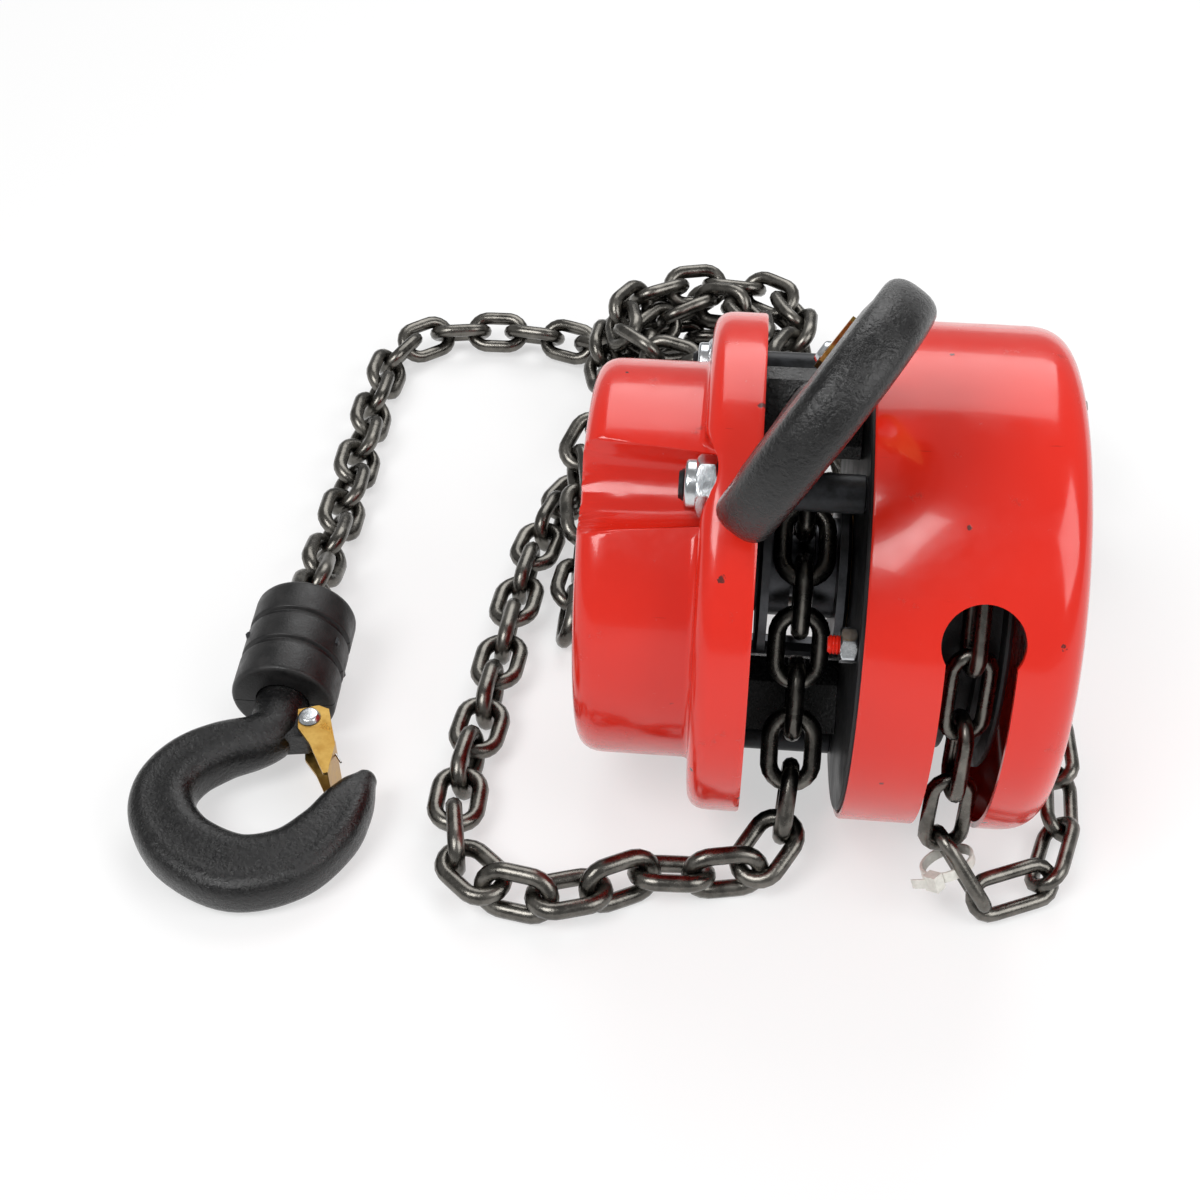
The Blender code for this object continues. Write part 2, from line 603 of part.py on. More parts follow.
for name, angle in PAWL_ANGLES.items():
    y, z = at(PAWL_RING_R, angle)
    lathe("pawl_pin_" + name, [(WHEEL_PLATE_X, 0), (WHEEL_PLATE_X, 3.0), (flange_x, 3.0), (flange_x, 4.0),
                               (38.9, 4.0), (38.9, 0)], hoist, STEEL, 10, y, z)
    turn = math.pi - math.radians(angle)
    shape = [(RATCHET_R + 0.4, 13.5), (RATCHET_R + 4.5, 16.0), (PAWL_RING_R + 4, 7.5), (PAWL_RING_R + 7.5, 0.0),
             (PAWL_RING_R + 4, -6.5), (PAWL_RING_R - 4, -6.0), (PAWL_RING_R - 7, 1.0), (RATCHET_R - 3.4, 8.8),
             (RATCHET_R - 3.0, 11.0)]
    shape = [(r * math.cos(turn) - t * math.sin(turn), r * math.sin(turn) + t * math.cos(turn)) for r, t in shape]
    pawl = prism("pawl_" + name, shape, 34.0, 38.2, hoist, BLACK, (0, y, z))
    cut(pawl, tool(30, 42, 4.0 + GAP, hoist, y, z, 10))
    helix = [(24.0 + 6.0 * k / 16, y + 5.8 * math.cos(math.pi * k / 4), z + 5.8 * math.sin(math.pi * k / 4))
             for k in range(17)]
    v, f = tube_data(helix, 0.6, 4)
    piece("pawl_spring_" + name, v, f, hoist, STEEL)
    least_gap("pawl_spring_" + name, helix, 0.6)

# Hand wheel with a grooved rim for the hand chain, and the slotted nut that keeps it on.
apothem = HAND_PITCH / 2 / math.tan(math.pi / 16)
crest = apothem - HAND_WIRE / 2 - 1.4
deep = apothem - HAND_WIDTH / 2 - 1.4
hw = HAND_WIDTH / 2 + 0.7
hs = HAND_WIRE / 2 + 0.8
rim = crest + 6
lathe("hand_wheel", [(41.9, SHAFT_R + GAP), (41.9, 43.0), (WHEEL_X - hw - 2, 46.0), (WHEEL_X - hw - 2, rim),
                     (WHEEL_X - hw, rim), (WHEEL_X - hw, crest), (WHEEL_X - hs, crest), (WHEEL_X - hs, deep),
                     (WHEEL_X + hs, deep), (WHEEL_X + hs, crest), (WHEEL_X + hw, crest), (WHEEL_X + hw, rim),
                     (WHEEL_X + hw + 2, rim), (WHEEL_X + hw + 2, 47.0), (48.0, 45.0), (48.0, 16.0), (70.0, 15.0),
                     (70.0, SHAFT_R + GAP)], hoist, BLACK, 16)
nut = prism("shaft_nut", hexagon(22.0, 0, 0), 70.4, 76.4, hoist, ZINC)
cut(nut, tool(60, 90, SHAFT_R + GAP, hoist, segs=14))

# Stripper block under the sheave and the pin that holds the idle end of the load chain.
y, z = 12.0, -45.0
guide = [(y - 8, z - 13), (y + 8, z - 13), (y + 8, z + 6), (y + 2, z + 12), (y - 3, z + 12), (y - 8, z + 4)]
prism("chain_stripper", guide, gear_in + GAP, WHEEL_PLATE_X - GAP, hoist, BLACK)
rod("chain_anchor_pin", gear_in + GAP, WHEEL_PLATE_X - GAP, 5.0, hoist, STEEL, 50.0, -36.0, 10)

# Top hook yoke: a block on two round ends that swings between the plates.
yk = [(-14, -6), (-10, -10), (10, -10), (14, -6), (14, 9), (10, YOKE_FACE), (-10, YOKE_FACE), (-14, 9)]
yoke = prism("top_yoke", yk, gear_in + 0.6, WHEEL_PLATE_X - 0.6, yoke_frame, BLACK)
add(yoke, rod("tool", GEAR_PLATE_X, WHEEL_PLATE_X + PLATE_T, 7.0, yoke_frame, BLACK, segs=14))


def upright(name, z0, z1, r, parent, look, x=0.0, y=0.0, segs=16):
    """A cylinder along Z."""
    verts, faces = lathe_data([(z0, 0), (z0, r), (z1, r), (z1, 0)], segs)
    return piece(name, [(v[1] + x, v[2] + y, v[0]) for v in verts], faces, parent, look)


cut(yoke, upright("tool", -30, 30, HOOK_NECK_R + GAP, yoke_frame, BLACK))


def hook(name, parent, neck, head):
    """Forged hook; head lists (z, r) of the round end behind its block. Bowl opens toward +X."""
    line = [(0, neck - 5, 9.5, 9.5), (-6, neck + 0, 9.8, 9.6), (-17, neck + 5, 10, 9.6), (-27, neck + 13, 10.5, 9.5),
            (-32, neck + 24, 11, 9.5), (-29.5, neck + 36, 11.6, 9.5), (-18.5, neck + 48, 12.4, 9.5),
            (0, neck + 55, 13, 9.5), (17, neck + 50, 12.3, 9.5), (27.5, neck + 38, 11, 9.4),
            (32, neck + 27, 9.3, 9), (34.6, neck + 19, 7, 7.6), (36.6, neck + 13.5, 4.2, 5)]
    stations = [((0, 0, z), (1, 0, 0), (0, 1, 0), r, r) for z, r in head]
    for k, (x, z, a, b) in enumerate(line):
        p, q = line[max(k - 1, 0)], line[min(k + 1, len(line) - 1)]
        d = Vector((q[0] - p[0], 0, q[1] - p[1])).normalized() if k else Vector((0, 0, 1))
        stations.append(((x, 0, z), (d.z, 0, -d.x), (0, 1, 0), a, b))
    v, f = sweep_data(stations, 10, 2.5, len(head))
    body = piece(name, v, f, parent, BLACK)
    lug = [(3, neck - 11), (15, neck - 11), (18.2, neck - 7.5), (18.2, neck - 3.5), (15, neck - 0.5), (3, neck + 1)]
    verts, faces = prism_data(lug, -5, 5)
    add(body, piece("tool", [(p[1], p[0], p[2]) for p in verts], faces, parent, BLACK, smooth=False))
    cut(body, cross_rod("tool", -12, 12, 2.5 + GAP, parent, STEEL, 14.0, neck - 5.5, 10))
    return body


def cross_rod(name, y0, y1, r, parent, look, x, z, segs=10):
    """A cylinder along Y."""
    verts, faces = lathe_data([(y0, 0), (y0, r), (y1, r), (y1, 0)], segs)
    return piece(name, [(v[1] + x, v[0], v[2] + z) for v in verts], faces, parent, look)


def latch(prefix, parent, neck):
    """Spring latch of bent sheet on a riveted pin, closing the hook's mouth."""
    px, pz = 14.0, neck - 5.5
    tipx, tipz = 22.4, neck + 19.0
    d = Vector((tipx - px, tipz - pz)).normalized()
    n = Vector((d.y, -d.x))
    long = math.hypot(tipx - px, tipz - pz)

    def spot(s, t):
        return (px + d.x * s + n.x * t, pz + d.y * s + n.y * t)

    ear = [spot(-4.5, -3.5), spot(-4.5, 4), spot(-2, 7.2), spot(long * 0.55, 7.2), spot(long, 3.0), spot(long, 1.4),
           spot(long * 0.45, -1.5), spot(4, -4.5)]
    verts, faces = prism_data(ear, -9.8, 9.8)
    body = piece(prefix + "_latch", [(p[1], p[0], p[2]) for p in verts], faces, parent, GOLD, (px, 0, pz), False)
    slot_shape = [spot(-9, -9), spot(-9, 12), spot(3.6, 12), spot(5.5, 5.7), spot(long * 0.53, 5.7), spot(long + 9, 0.6),
                  spot(long + 9, -9)]
    verts, faces = prism_data(slot_shape, -8.3, 8.3)
    cut(body, piece("tool", [(p[1], p[0], p[2]) for p in verts], faces, parent, GOLD, smooth=False))
    cut(body, cross_rod("tool", -14, 14, 2.5 + GAP, parent, STEEL, px, pz))
    pin_verts, pin_faces = lathe_data([(-11.6, 0), (-11.6, 3.2), (-10.1, 4.0), (-10.1, 2.5), (10.1, 2.5), (10.1, 4.0),
                                       (11.6, 3.2), (11.6, 0)], 10)
    piece(prefix + "_latch_pin", [(v[1] + px, v[0], v[2] + pz) for v in pin_verts], pin_faces, parent, ZINC)
    helix = [(px + 3.5 * math.cos(2 * math.pi * k / 10), 5.6 + 2.2 * k / 18 + 0.1, pz + 3.5 * math.sin(2 * math.pi * k / 10))
             for k in range(19)]
    v, f = tube_data(helix, 0.38, 4)
    piece(prefix + "_latch_spring", v, f, parent, ZINC)
    least_gap(prefix + "_latch_spring", helix, 0.38)


back = -(YOKE_FACE + 10 + GAP)
hook("top_hook", top_hook_frame, TOP_NECK, [(back - 8, 12.5), (back, 12.5), (back, HOOK_NECK_R)])
latch("top", top_hook_frame, TOP_NECK)

# Load block: two cast halves riveted round the hook's head and the last link's pin.
hook("load_hook", load_hook_frame, LOAD_NECK, [(-17.6, 13.0), (-8.4, 13.0), (-8.4, HOOK_NECK_R)])
latch("load", load_hook_frame, LOAD_NECK)
L, R = BLOCK_L, BLOCK_R
ring = [(-L, 11.6), (-L, R - 3), (-L + 3, R), (-30.5, R), (-29.5, R - 1.2), (-28.5, R - 1.2), (-27.5, R), (-16.5, R),
        (-15.5, R - 1.2), (-14.5, R - 1.2), (-13.5, R), (-2, R), (0, R - 2), (0, HOOK_NECK_R + GAP),
        (-8, HOOK_NECK_R + GAP), (-8, 13.4), (-18, 13.4), (-20, 11.6)]
for k, name in enumerate(("upper", "lower")):
    verts, faces = lathe_data(ring, 8, 180.0 * k, 180.0)
    lift = GAP / 2 - GAP * k
    halfbody = piece("load_block_" + name, [(-v[1], v[2] + lift, v[0]) for v in verts], faces, load_hook_frame, BLACK)
    pin_cut = prism_data(circle(3.4 + GAP, 12, 0, -32.0), -25, 25)
    cut(halfbody, piece("tool", *pin_cut, load_hook_frame, STEEL))
    for x in (-16.0, 16.0):
        cut(halfbody, cross_rod("tool", -20, 20, 1.6 + 0.2, load_hook_frame, STEEL, x, -23.0, 8))
piece("load_chain_pin", *prism_data(circle(3.4, 12, 0, -32.0), -17.5, 17.5), load_hook_frame, STEEL)
for name, x in (("left", -16.0), ("right", 16.0)):
    cross_rod("block_rivet_" + name, -10.0, 10.0, 1.6, load_hook_frame, ZINC, x, -23.0, 8)


def hoist_point(x, y, z):
    """A point of the hoist's own frame, in the assembly frame."""
    a = math.radians(LEAN_DEG)
    return (x, y * math.cos(a) + z * math.sin(a), AXLE_HEIGHT - y * math.sin(a) + z * math.cos(a))


# Load chain: idle side up from the table, over the sheave, down the front and round to the left.
lie = 10.0
r_wrap = LOAD_PITCH * TAUT / 2 / math.sin(math.pi / 8) + 0.6
wrap = [hoist_point(0, *at(r_wrap, 147 - 30 * k)) for k in range(7)]
front = [(0, -33, 62), (0, -44, 40), (0, -54, 23), (-5, -67, 12), (-19, -76, lie), (-42, -75, lie),
         (-64, -86, lie), (-88, -91, lie), (-110, -76, lie), (-114, -44, lie), (-111, -8, lie), (-109, 28, lie),
         (-107, 64, lie), (-103, 97, lie), (-95, 127, lie), (-82, 150, lie)]
idle = [(0, 86, 12), (0, 62, 21), (0, 42, 38), (0, 29, 60)]
chain("load_chain_run", idle + wrap + front, LOAD_WIRE, LOAD_PITCH, LOAD_WIDTH, assembly, (1, 0, 0), 45)
block_in = load_hook_frame.matrix_basis @ (Vector((0, 0, -32.0)) * MM) / MM
block_top = load_hook_frame.matrix_basis @ (Vector((0, 0, -52.0)) * MM) / MM
lead = [tuple(block_in - (block_top - block_in).normalized() * 3.7), tuple(block_top), (-187, 62, 16), (-188, 100, 10),
        (-189, 150, lie), (-190, 200, lie), (-187, 234, lie), (-170, 254, lie), (-142, 258, lie),
        (-116, 256, lie), (-84, 243, lie)]
chain("load_chain_lead", lead, LOAD_WIRE, LOAD_PITCH, LOAD_WIDTH, assembly, (0, 0, 1), 45)
coil("load_chain_coil", (-62.8, 192.3), 30, 62, 1.75, 4, 6.4, assembly, 225)

# Hand chain: up from the table at the back, over the hand wheel, down through the slot and round to the right.
r_hand = HAND_PITCH * TAUT / 2 / math.sin(math.pi / 16) + 0.6
turn_over = [hoist_point(WHEEL_X, *at(r_hand, 147 - 18 * k)) for k in range(11)]
low = 8.2
fall = [(WHEEL_X, -66.5, 62), (WHEEL_X, -67.0, 42), (WHEEL_X, -67.5, 25), (WHEEL_X + 5, -72, 12),
        (WHEEL_X + 17, -77, low), (WHEEL_X + 33, -71, low), (WHEEL_X + 43, -46, low), (WHEEL_X + 46, -12, low),
        (WHEEL_X + 45, 24, low), (WHEEL_X + 42, 58, low)]
rise = [(WHEEL_X, 96, 10), (WHEEL_X, 76, 14), (WHEEL_X, 67.5, 32), (WHEEL_X, 66.5, 58)]
chain("hand_chain_run", rise + turn_over + fall, HAND_WIRE, HAND_PITCH, HAND_WIDTH, assembly, (1, 0, 0), 45)
coil("hand_chain_coil", (62, 146.25), 28, 54, 1.7, 5, 5.4, assembly, 260)

# The assembly's origin: under the middle of everything but the chains, on the table.
bpy.context.view_layer.update()
low_corner = Vector((1e9, 1e9, 1e9))
high_corner = Vector((-1e9, -1e9, -1e9))
for obj in bpy.data.objects:
    if obj.type == "MESH" and "_chain_" not in obj.name.replace("load_chain_pin", ""):
        for v in obj.data.vertices:
            p = obj.matrix_world @ v.co
            low_corner = Vector(map(min, low_corner, p))
            high_corner = Vector(map(max, high_corner, p))
middle = (low_corner + high_corner) / 2
assembly.location = (-middle.x, -middle.y, -low_corner.z)
print("assembly moved by", [round(c * 1000, 3) for c in assembly.location])
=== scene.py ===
import json
import math

import bmesh
import bpy
import numpy as np
from mathutils import Matrix, Vector

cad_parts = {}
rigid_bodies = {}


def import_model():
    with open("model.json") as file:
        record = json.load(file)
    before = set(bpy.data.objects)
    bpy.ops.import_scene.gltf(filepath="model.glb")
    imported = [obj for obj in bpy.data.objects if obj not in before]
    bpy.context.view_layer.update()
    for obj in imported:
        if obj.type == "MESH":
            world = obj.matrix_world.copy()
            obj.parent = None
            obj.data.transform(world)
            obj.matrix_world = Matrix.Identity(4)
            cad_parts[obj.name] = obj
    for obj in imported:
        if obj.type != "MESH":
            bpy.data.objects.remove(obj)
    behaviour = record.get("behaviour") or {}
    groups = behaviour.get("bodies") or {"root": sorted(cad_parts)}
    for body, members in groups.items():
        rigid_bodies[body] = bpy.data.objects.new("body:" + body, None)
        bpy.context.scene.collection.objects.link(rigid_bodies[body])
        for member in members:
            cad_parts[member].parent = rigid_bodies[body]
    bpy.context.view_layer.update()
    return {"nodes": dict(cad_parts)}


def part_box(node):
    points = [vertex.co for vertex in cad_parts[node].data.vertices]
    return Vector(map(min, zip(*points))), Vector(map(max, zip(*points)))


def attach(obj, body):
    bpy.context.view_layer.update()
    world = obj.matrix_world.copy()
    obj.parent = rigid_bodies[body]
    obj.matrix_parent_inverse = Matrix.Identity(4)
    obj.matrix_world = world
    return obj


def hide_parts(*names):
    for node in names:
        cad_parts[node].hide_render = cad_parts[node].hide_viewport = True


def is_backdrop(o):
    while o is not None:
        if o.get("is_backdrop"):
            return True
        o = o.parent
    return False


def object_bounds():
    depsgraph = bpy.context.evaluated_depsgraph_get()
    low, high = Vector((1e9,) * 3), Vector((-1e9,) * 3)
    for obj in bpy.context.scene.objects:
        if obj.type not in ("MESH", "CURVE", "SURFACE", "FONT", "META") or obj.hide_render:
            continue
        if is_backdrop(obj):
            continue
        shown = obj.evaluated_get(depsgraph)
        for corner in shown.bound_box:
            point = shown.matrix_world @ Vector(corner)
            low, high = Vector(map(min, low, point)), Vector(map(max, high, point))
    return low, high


for old in list(bpy.data.objects):
    bpy.data.objects.remove(old, do_unlink=True)
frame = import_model()


# The table and studio: a plain white sweep under large soft lamps, seen from above the front.
# The sweep is matt paper; it takes the hoist's shadow and runs to white away from it.
def add(tree, kind, links=(), **settings):
    """Adds one shader node; a setting is a property, a socket's name, or atN for socket N."""
    made = tree.nodes.new("ShaderNode" + kind)
    for key, value in settings.items():
        if key in made.bl_rna.properties:
            setattr(made, key, value)
        elif key[:2] == "at" and key[2:].isdigit():
            made.inputs[int(key[2:])].default_value = value
        else:
            made.inputs[key.replace("_", " ")].default_value = value
    for socket, source in links:
        tree.links.new(source, made.inputs[socket])
    return made


def tint(code):
    """An sRGB hex colour as linear RGBA."""
    parts = [int(code[i:i + 2], 16) / 255 for i in (1, 3, 5)]
    return (*[c / 12.92 if c <= 0.04045 else ((c + 0.055) / 1.055) ** 2.4 for c in parts], 1.0)


COVER_R = 84.0
GEAR_END_X = -72.0
FLOOR_HALF_M = 4.0
PAPER_NEAR_M, PAPER_FAR_M = 0.45, 1.2
PAPER_NEAR_GLOW = 0.55
ROOM_LIGHT = 0.34
LAMPS = (("key_softbox", (-0.55, -0.75, 1.25), 13.0, 0.7),
         ("fill_softbox", (0.95, -0.45, 0.85), 7.5, 0.8),
         ("rear_softbox", (0.10, 0.95, 1.10), 9.0, 1.0))
LAMP_AIM = Vector((0.02, 0.04, 0.06))
VIEW_FROM = Vector((-24.7, -465.0, 459.0))
VIEW_ALONG = Vector((-0.0717, 0.7601, -0.6465))

paper = bpy.data.materials.new("white_paper_sweep")
paper.use_nodes = True
tree = paper.node_tree
tree.nodes.clear()
sheet_white = add(tree, "BsdfDiffuse", Color=tint("#F4F4F4"))
glow = add(tree, "Emission", Color=tint("#FFFFFF"), Strength=1.0)
ray = add(tree, "LightPath")
seen = add(tree, "Math", [(0, ray.outputs["Is Camera Ray"]), (1, ray.outputs["Is Glossy Ray"])],
           operation="MAXIMUM")
away = add(tree, "VectorMath", [(0, add(tree, "TexCoord").outputs["Object"])], operation="LENGTH")
paler = add(tree, "MapRange", [("Value", away.outputs["Value"])], From_Min=PAPER_NEAR_M,
            From_Max=PAPER_FAR_M, To_Min=PAPER_NEAR_GLOW, To_Max=1.0)
share = add(tree, "Math", [(0, seen.outputs[0]), (1, paler.outputs[0])], operation="MULTIPLY")
both = add(tree, "MixShader", [(0, share.outputs[0]), (1, sheet_white.outputs[0]), (2, glow.outputs[0])])
add(tree, "OutputMaterial", [("Surface", both.outputs[0])])
floor_mesh = bpy.data.meshes.new("paper_sweep")
floor_corners = [(x * FLOOR_HALF_M, y * FLOOR_HALF_M, 0) for x, y in ((-1, -1), (1, -1), (1, 1), (-1, 1))]
floor_mesh.from_pydata(floor_corners, [], [(0, 1, 2, 3)])
floor_mesh.materials.append(paper)
floor = bpy.data.objects.new("paper_sweep", floor_mesh)
bpy.context.scene.collection.objects.link(floor)
floor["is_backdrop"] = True

sky = bpy.data.worlds.new("studio_white")
sky.use_nodes = True
tree = sky.node_tree
tree.nodes.clear()
ray = add(tree, "LightPath")
seen = add(tree, "Math", [(0, ray.outputs["Is Camera Ray"]), (1, ray.outputs["Is Transmission Ray"])],
           operation="MAXIMUM")
level = add(tree, "MapRange", [("Value", seen.outputs[0])], To_Min=ROOM_LIGHT, To_Max=1.0)
room = add(tree, "Background", [("Strength", level.outputs[0])], Color=tint("#FFFFFF"))
add(tree, "OutputWorld", [("Surface", room.outputs[0])])
bpy.context.scene.world = sky

for name, spot, watts, size in LAMPS:
    lamp = bpy.data.lights.new(name, "AREA")
    lamp.energy = watts
    lamp.size = size
    holder = bpy.data.objects.new(name, lamp)
    holder.location = spot
    holder.rotation_euler = (LAMP_AIM - Vector(spot)).to_track_quat("-Z", "Y").to_euler()
    bpy.context.scene.collection.objects.link(holder)

lens = bpy.data.cameras.new("front_view")
lens.sensor_width = 36.0
lens.lens = 52.5
lens.clip_start = 0.01
camera = bpy.data.objects.new("front_view", lens)
sheave_low, sheave_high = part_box("load_sheave")
axle = (sheave_low + sheave_high) * 500
axle.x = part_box("gear_cover")[0].x * 1000 - GEAR_END_X
foot = axle - Vector((0, 0, COVER_R))
camera.location = (foot + VIEW_FROM) * 0.001
camera.rotation_euler = VIEW_ALONG.to_track_quat("-Z", "Y").to_euler()
bpy.context.scene.collection.objects.link(camera)
bpy.context.scene.camera = camera
bpy.context.scene.view_settings.view_transform = "Standard"


# Side plates: two steel discs that carry the whole hoist, with bearings pressed in their middles.
# Cut from plate and painted thin black, so they look dark and slightly cloudy with a soft sheen.
def begin(name, colour, rough, metal=0.0):
    """A material with one principled shader, and surface coordinates in millimetres."""
    made = bpy.data.materials.new(name)
    made.use_nodes = True
    leaf = made.node_tree
    leaf.nodes.clear()
    shader = add(leaf, "BsdfPrincipled", Base_Color=tint(colour), Roughness=rough, Metallic=metal)
    add(leaf, "OutputMaterial", [("Surface", shader.outputs[0])])
    where = add(leaf, "TexCoord").outputs["Object"]
    mm = add(leaf, "VectorMath", [(0, where)], operation="SCALE", Scale=1000.0).outputs[0]
    return made, leaf, shader, mm


def cloud(leaf, shader, mm, grain_mm, colours, rough, bump_mm, bump):
    """Colour and roughness that drift with one grain, over a fine rough bump."""
    drift = add(leaf, "TexNoise", [("Vector", mm)], Scale=1 / grain_mm, Detail=5.0, Roughness=0.6).outputs[0]
    spread = add(leaf, "MapRange", [("Value", drift)], From_Min=0.35, From_Max=0.68).outputs[0]
    mixed = add(leaf, "MixRGB", [("Fac", spread)], Color1=tint(colours[0]), Color2=tint(colours[1]))
    leaf.links.new(mixed.outputs[0], shader.inputs["Base Color"])
    sheen = add(leaf, "MapRange", [("Value", drift)], From_Min=0.3, From_Max=0.7,
                To_Min=rough[0], To_Max=rough[1])
    leaf.links.new(sheen.outputs[0], shader.inputs["Roughness"])
    fine = add(leaf, "TexNoise", [("Vector", mm)], Scale=1 / bump_mm, Detail=4.0, Roughness=0.65).outputs[0]
    dent = add(leaf, "Bump", [("Height", fine)], Strength=bump, Distance=0.0006)
    leaf.links.new(dent.outputs[0], shader.inputs["Normal"])


def clouded(name, colour, rough, metal, *grain):
    """A material whose colour and roughness drift as cloud() says."""
    made, leaf, shader, mm = begin(name, colour, rough, metal)
    cloud(leaf, shader, mm, *grain)
    return made


def recoat(look, *names):
    """CAD nodes that keep their solids and take a look."""
    for name in names:
        frame["nodes"][name].data.materials.clear()
        frame["nodes"][name].data.materials.append(look)


def around(profile, segs, start=0.0, sweep=360.0):
    """Vertices and faces of a closed (x, r) profile turned about X; angles rise from the front."""
    whole = sweep > 359.9
    rings = segs if whole else segs + 1
    verts = []
    for k in range(rings):
        a = math.radians(start + sweep * k / segs)
        verts += [(x, -r * math.cos(a), r * math.sin(a)) for x, r in profile]
    n = len(profile)
    faces = []
    for k in range(segs):
        low, high = k * n, (k + 1) % rings * n
        faces += [(low + i, low + (i + 1) % n, high + (i + 1) % n, high + i) for i in range(n)]
    if not whole:
        faces += [tuple(range(n)), tuple(range((rings - 1) * n, rings * n))]
    return verts, faces


def show(name, shape, place, look, body, *nodes, sharp=38.0):
    """A piece from vertices in millimetres of the frame `place`, on a body, in place of CAD nodes."""
    mesh = bpy.data.meshes.new(name)
    mesh.from_pydata([place @ Vector(v) * 0.001 for v in shape[0]], [], shape[1])
    work = bmesh.new()
    work.from_mesh(mesh)
    bmesh.ops.remove_doubles(work, verts=work.verts, dist=1e-6)
    bmesh.ops.recalc_face_normals(work, faces=work.faces)
    work.to_mesh(mesh)
    work.free()
    mesh.shade_smooth()
    mesh.set_sharp_from_angle(angle=math.radians(sharp))
    mesh.materials.append(look)
    made = bpy.data.objects.new(name, mesh)
    bpy.context.scene.collection.objects.link(made)
    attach(made, body)
    if nodes:
        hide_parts(*nodes)
    return made


LEAN_DEG = 33.0
PLATE_R = 81.4
PLATE_T = 5.0
PLATE_EDGE = 0.5
GEAR_PLATE_X, WHEEL_PLATE_X = -24.2, 15.5
BEARING_SEAT_R = 22.0
hoist = Matrix.Translation(axle) @ Matrix.Rotation(math.radians(-LEAN_DEG), 4, "X")
black_paint = clouded("thin_black_paint_on_steel", "#17181A", 0.42, 0.0, 14.0, ("#131416", "#202124"),
                      (0.32, 0.55), 1.1, 0.12)
for side, x in (("gear_side_plate", GEAR_PLATE_X), ("wheel_side_plate", WHEEL_PLATE_X)):
    far = x + PLATE_T
    disc = [(x, BEARING_SEAT_R), (x, PLATE_R - PLATE_EDGE), (x + PLATE_EDGE, PLATE_R),
            (far - PLATE_EDGE, PLATE_R), (far, PLATE_R - PLATE_EDGE), (far, BEARING_SEAT_R)]
    show(side + "_disc", around(disc, 144), hoist, black_paint, "frame", side)

bronze = clouded("sintered_bronze", "#A8844A", 0.38, 1.0, 3.0, ("#A07C44", "#B59058"), (0.3, 0.5), 0.5, 0.15)
recoat(bronze, "gear_side_bearing", "wheel_side_bearing")

# Load sheave and gear train: pocket wheel, load gear and two double gears on the gear side.
# Turned and hobbed steel, dull with grease; only the sheave shows, behind the chain.
SHEAVE_RIM_R = 30.0
SHEAVE_CREST_R = 17.0
SHEAVE_GROOVE_R = 10.4
JOURNAL_R = 16.0
SHAFT_BORE_R = 7.5
machined = clouded("greased_machined_steel", "#5A5B5E", 0.4, 1.0, 6.0, ("#47484B", "#66676A"),
                   (0.28, 0.5), 0.8, 0.1)
pocket_side = [(3.9, SHEAVE_GROOVE_R), (3.9, SHEAVE_CREST_R), (10.95, SHEAVE_CREST_R), (10.95, SHEAVE_RIM_R),
               (13.6, SHEAVE_RIM_R), (14.6, SHEAVE_RIM_R - 1), (14.6, JOURNAL_R)]
sheave = [(-x, r) for x, r in reversed(pocket_side)] + pocket_side
sheave += [(21.5, JOURNAL_R), (21.5, SHAFT_BORE_R), (-37.0, SHAFT_BORE_R), (-37.0, 14.5), (-25.0, 14.5),
           (-25.0, JOURNAL_R)]
show("turned_load_sheave", around(sheave, 96), hoist, machined, "sheave", "load_sheave")
recoat(machined, "load_gear", "disc_gear_front", "disc_gear_rear", "gear_carrier", "drive_shaft",
       "brake_hub", "ratchet_disc", "pawl_upper", "pawl_lower", "pawl_pin_upper", "pawl_pin_lower",
       "chain_anchor_pin", "load_chain_pin")

# Brake: two friction discs clamped by the hub against the ratchet disc, with sprung pawls.
# The discs are pressed brown lining; the springs are open turns of music wire round the pawl pins.
lining = clouded("pressed_friction_lining", "#4A3B2C", 0.8, 0.0, 1.6, ("#3E3226", "#6A5335"),
                 (0.7, 0.9), 0.6, 0.3)
recoat(lining, "brake_disc_inner", "brake_disc_outer")


def bar(path, r, sides):
    """A round bar along a path, carried along it without twist."""
    path = [Vector(p) for p in path]
    verts, faces, u = [], [], None
    for i, c in enumerate(path):
        t = (path[min(i + 1, len(path) - 1)] - path[max(i - 1, 0)]).normalized()
        u = t.orthogonal() if u is None else u
        u = (u - t * u.dot(t)).normalized()
        v = t.cross(u)
        for j in range(sides):
            a = 2 * math.pi * j / sides
            verts.append(tuple(c + (u * math.cos(a) + v * math.sin(a)) * r))
    for i in range(len(path) - 1):
        for j in range(sides):
            m = (j + 1) % sides
            faces.append((i * sides + j, i * sides + m, (i + 1) * sides + m, (i + 1) * sides + j))
    faces += [tuple(range(sides)), tuple(range((len(path) - 1) * sides, len(path) * sides))]
    return verts, faces


SPRING_WIRE_R = 0.55
SPRING_R = 5.8
SPRING_TURNS = 2.0
SPRING_STEPS = 60
wire = clouded("bright_music_wire", "#B4B5B6", 0.25, 1.0, 2.0, ("#9A9B9D", "#C2C3C5"),
               (0.18, 0.34), 0.4, 0.05)
for name in ("upper", "lower"):
    low, high = (corner * 1000 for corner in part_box("pawl_spring_" + name))
    mid = hoist.inverted() @ ((low + high) / 2)
    reach = (high.x - low.x) / 2 - SPRING_WIRE_R
    helix = []
    for k in range(SPRING_STEPS + 1):
        a = 2 * math.pi * SPRING_TURNS * k / SPRING_STEPS
        along = mid.x - reach + 2 * reach * k / SPRING_STEPS
        helix.append((along, mid.y + SPRING_R * math.cos(a), mid.z + SPRING_R * math.sin(a)))
    coiled_wire = bar(helix, SPRING_WIRE_R, 10)
    show("pawl_spring_wire_" + name, coiled_wire, hoist, wire, "frame", "pawl_spring_" + name)

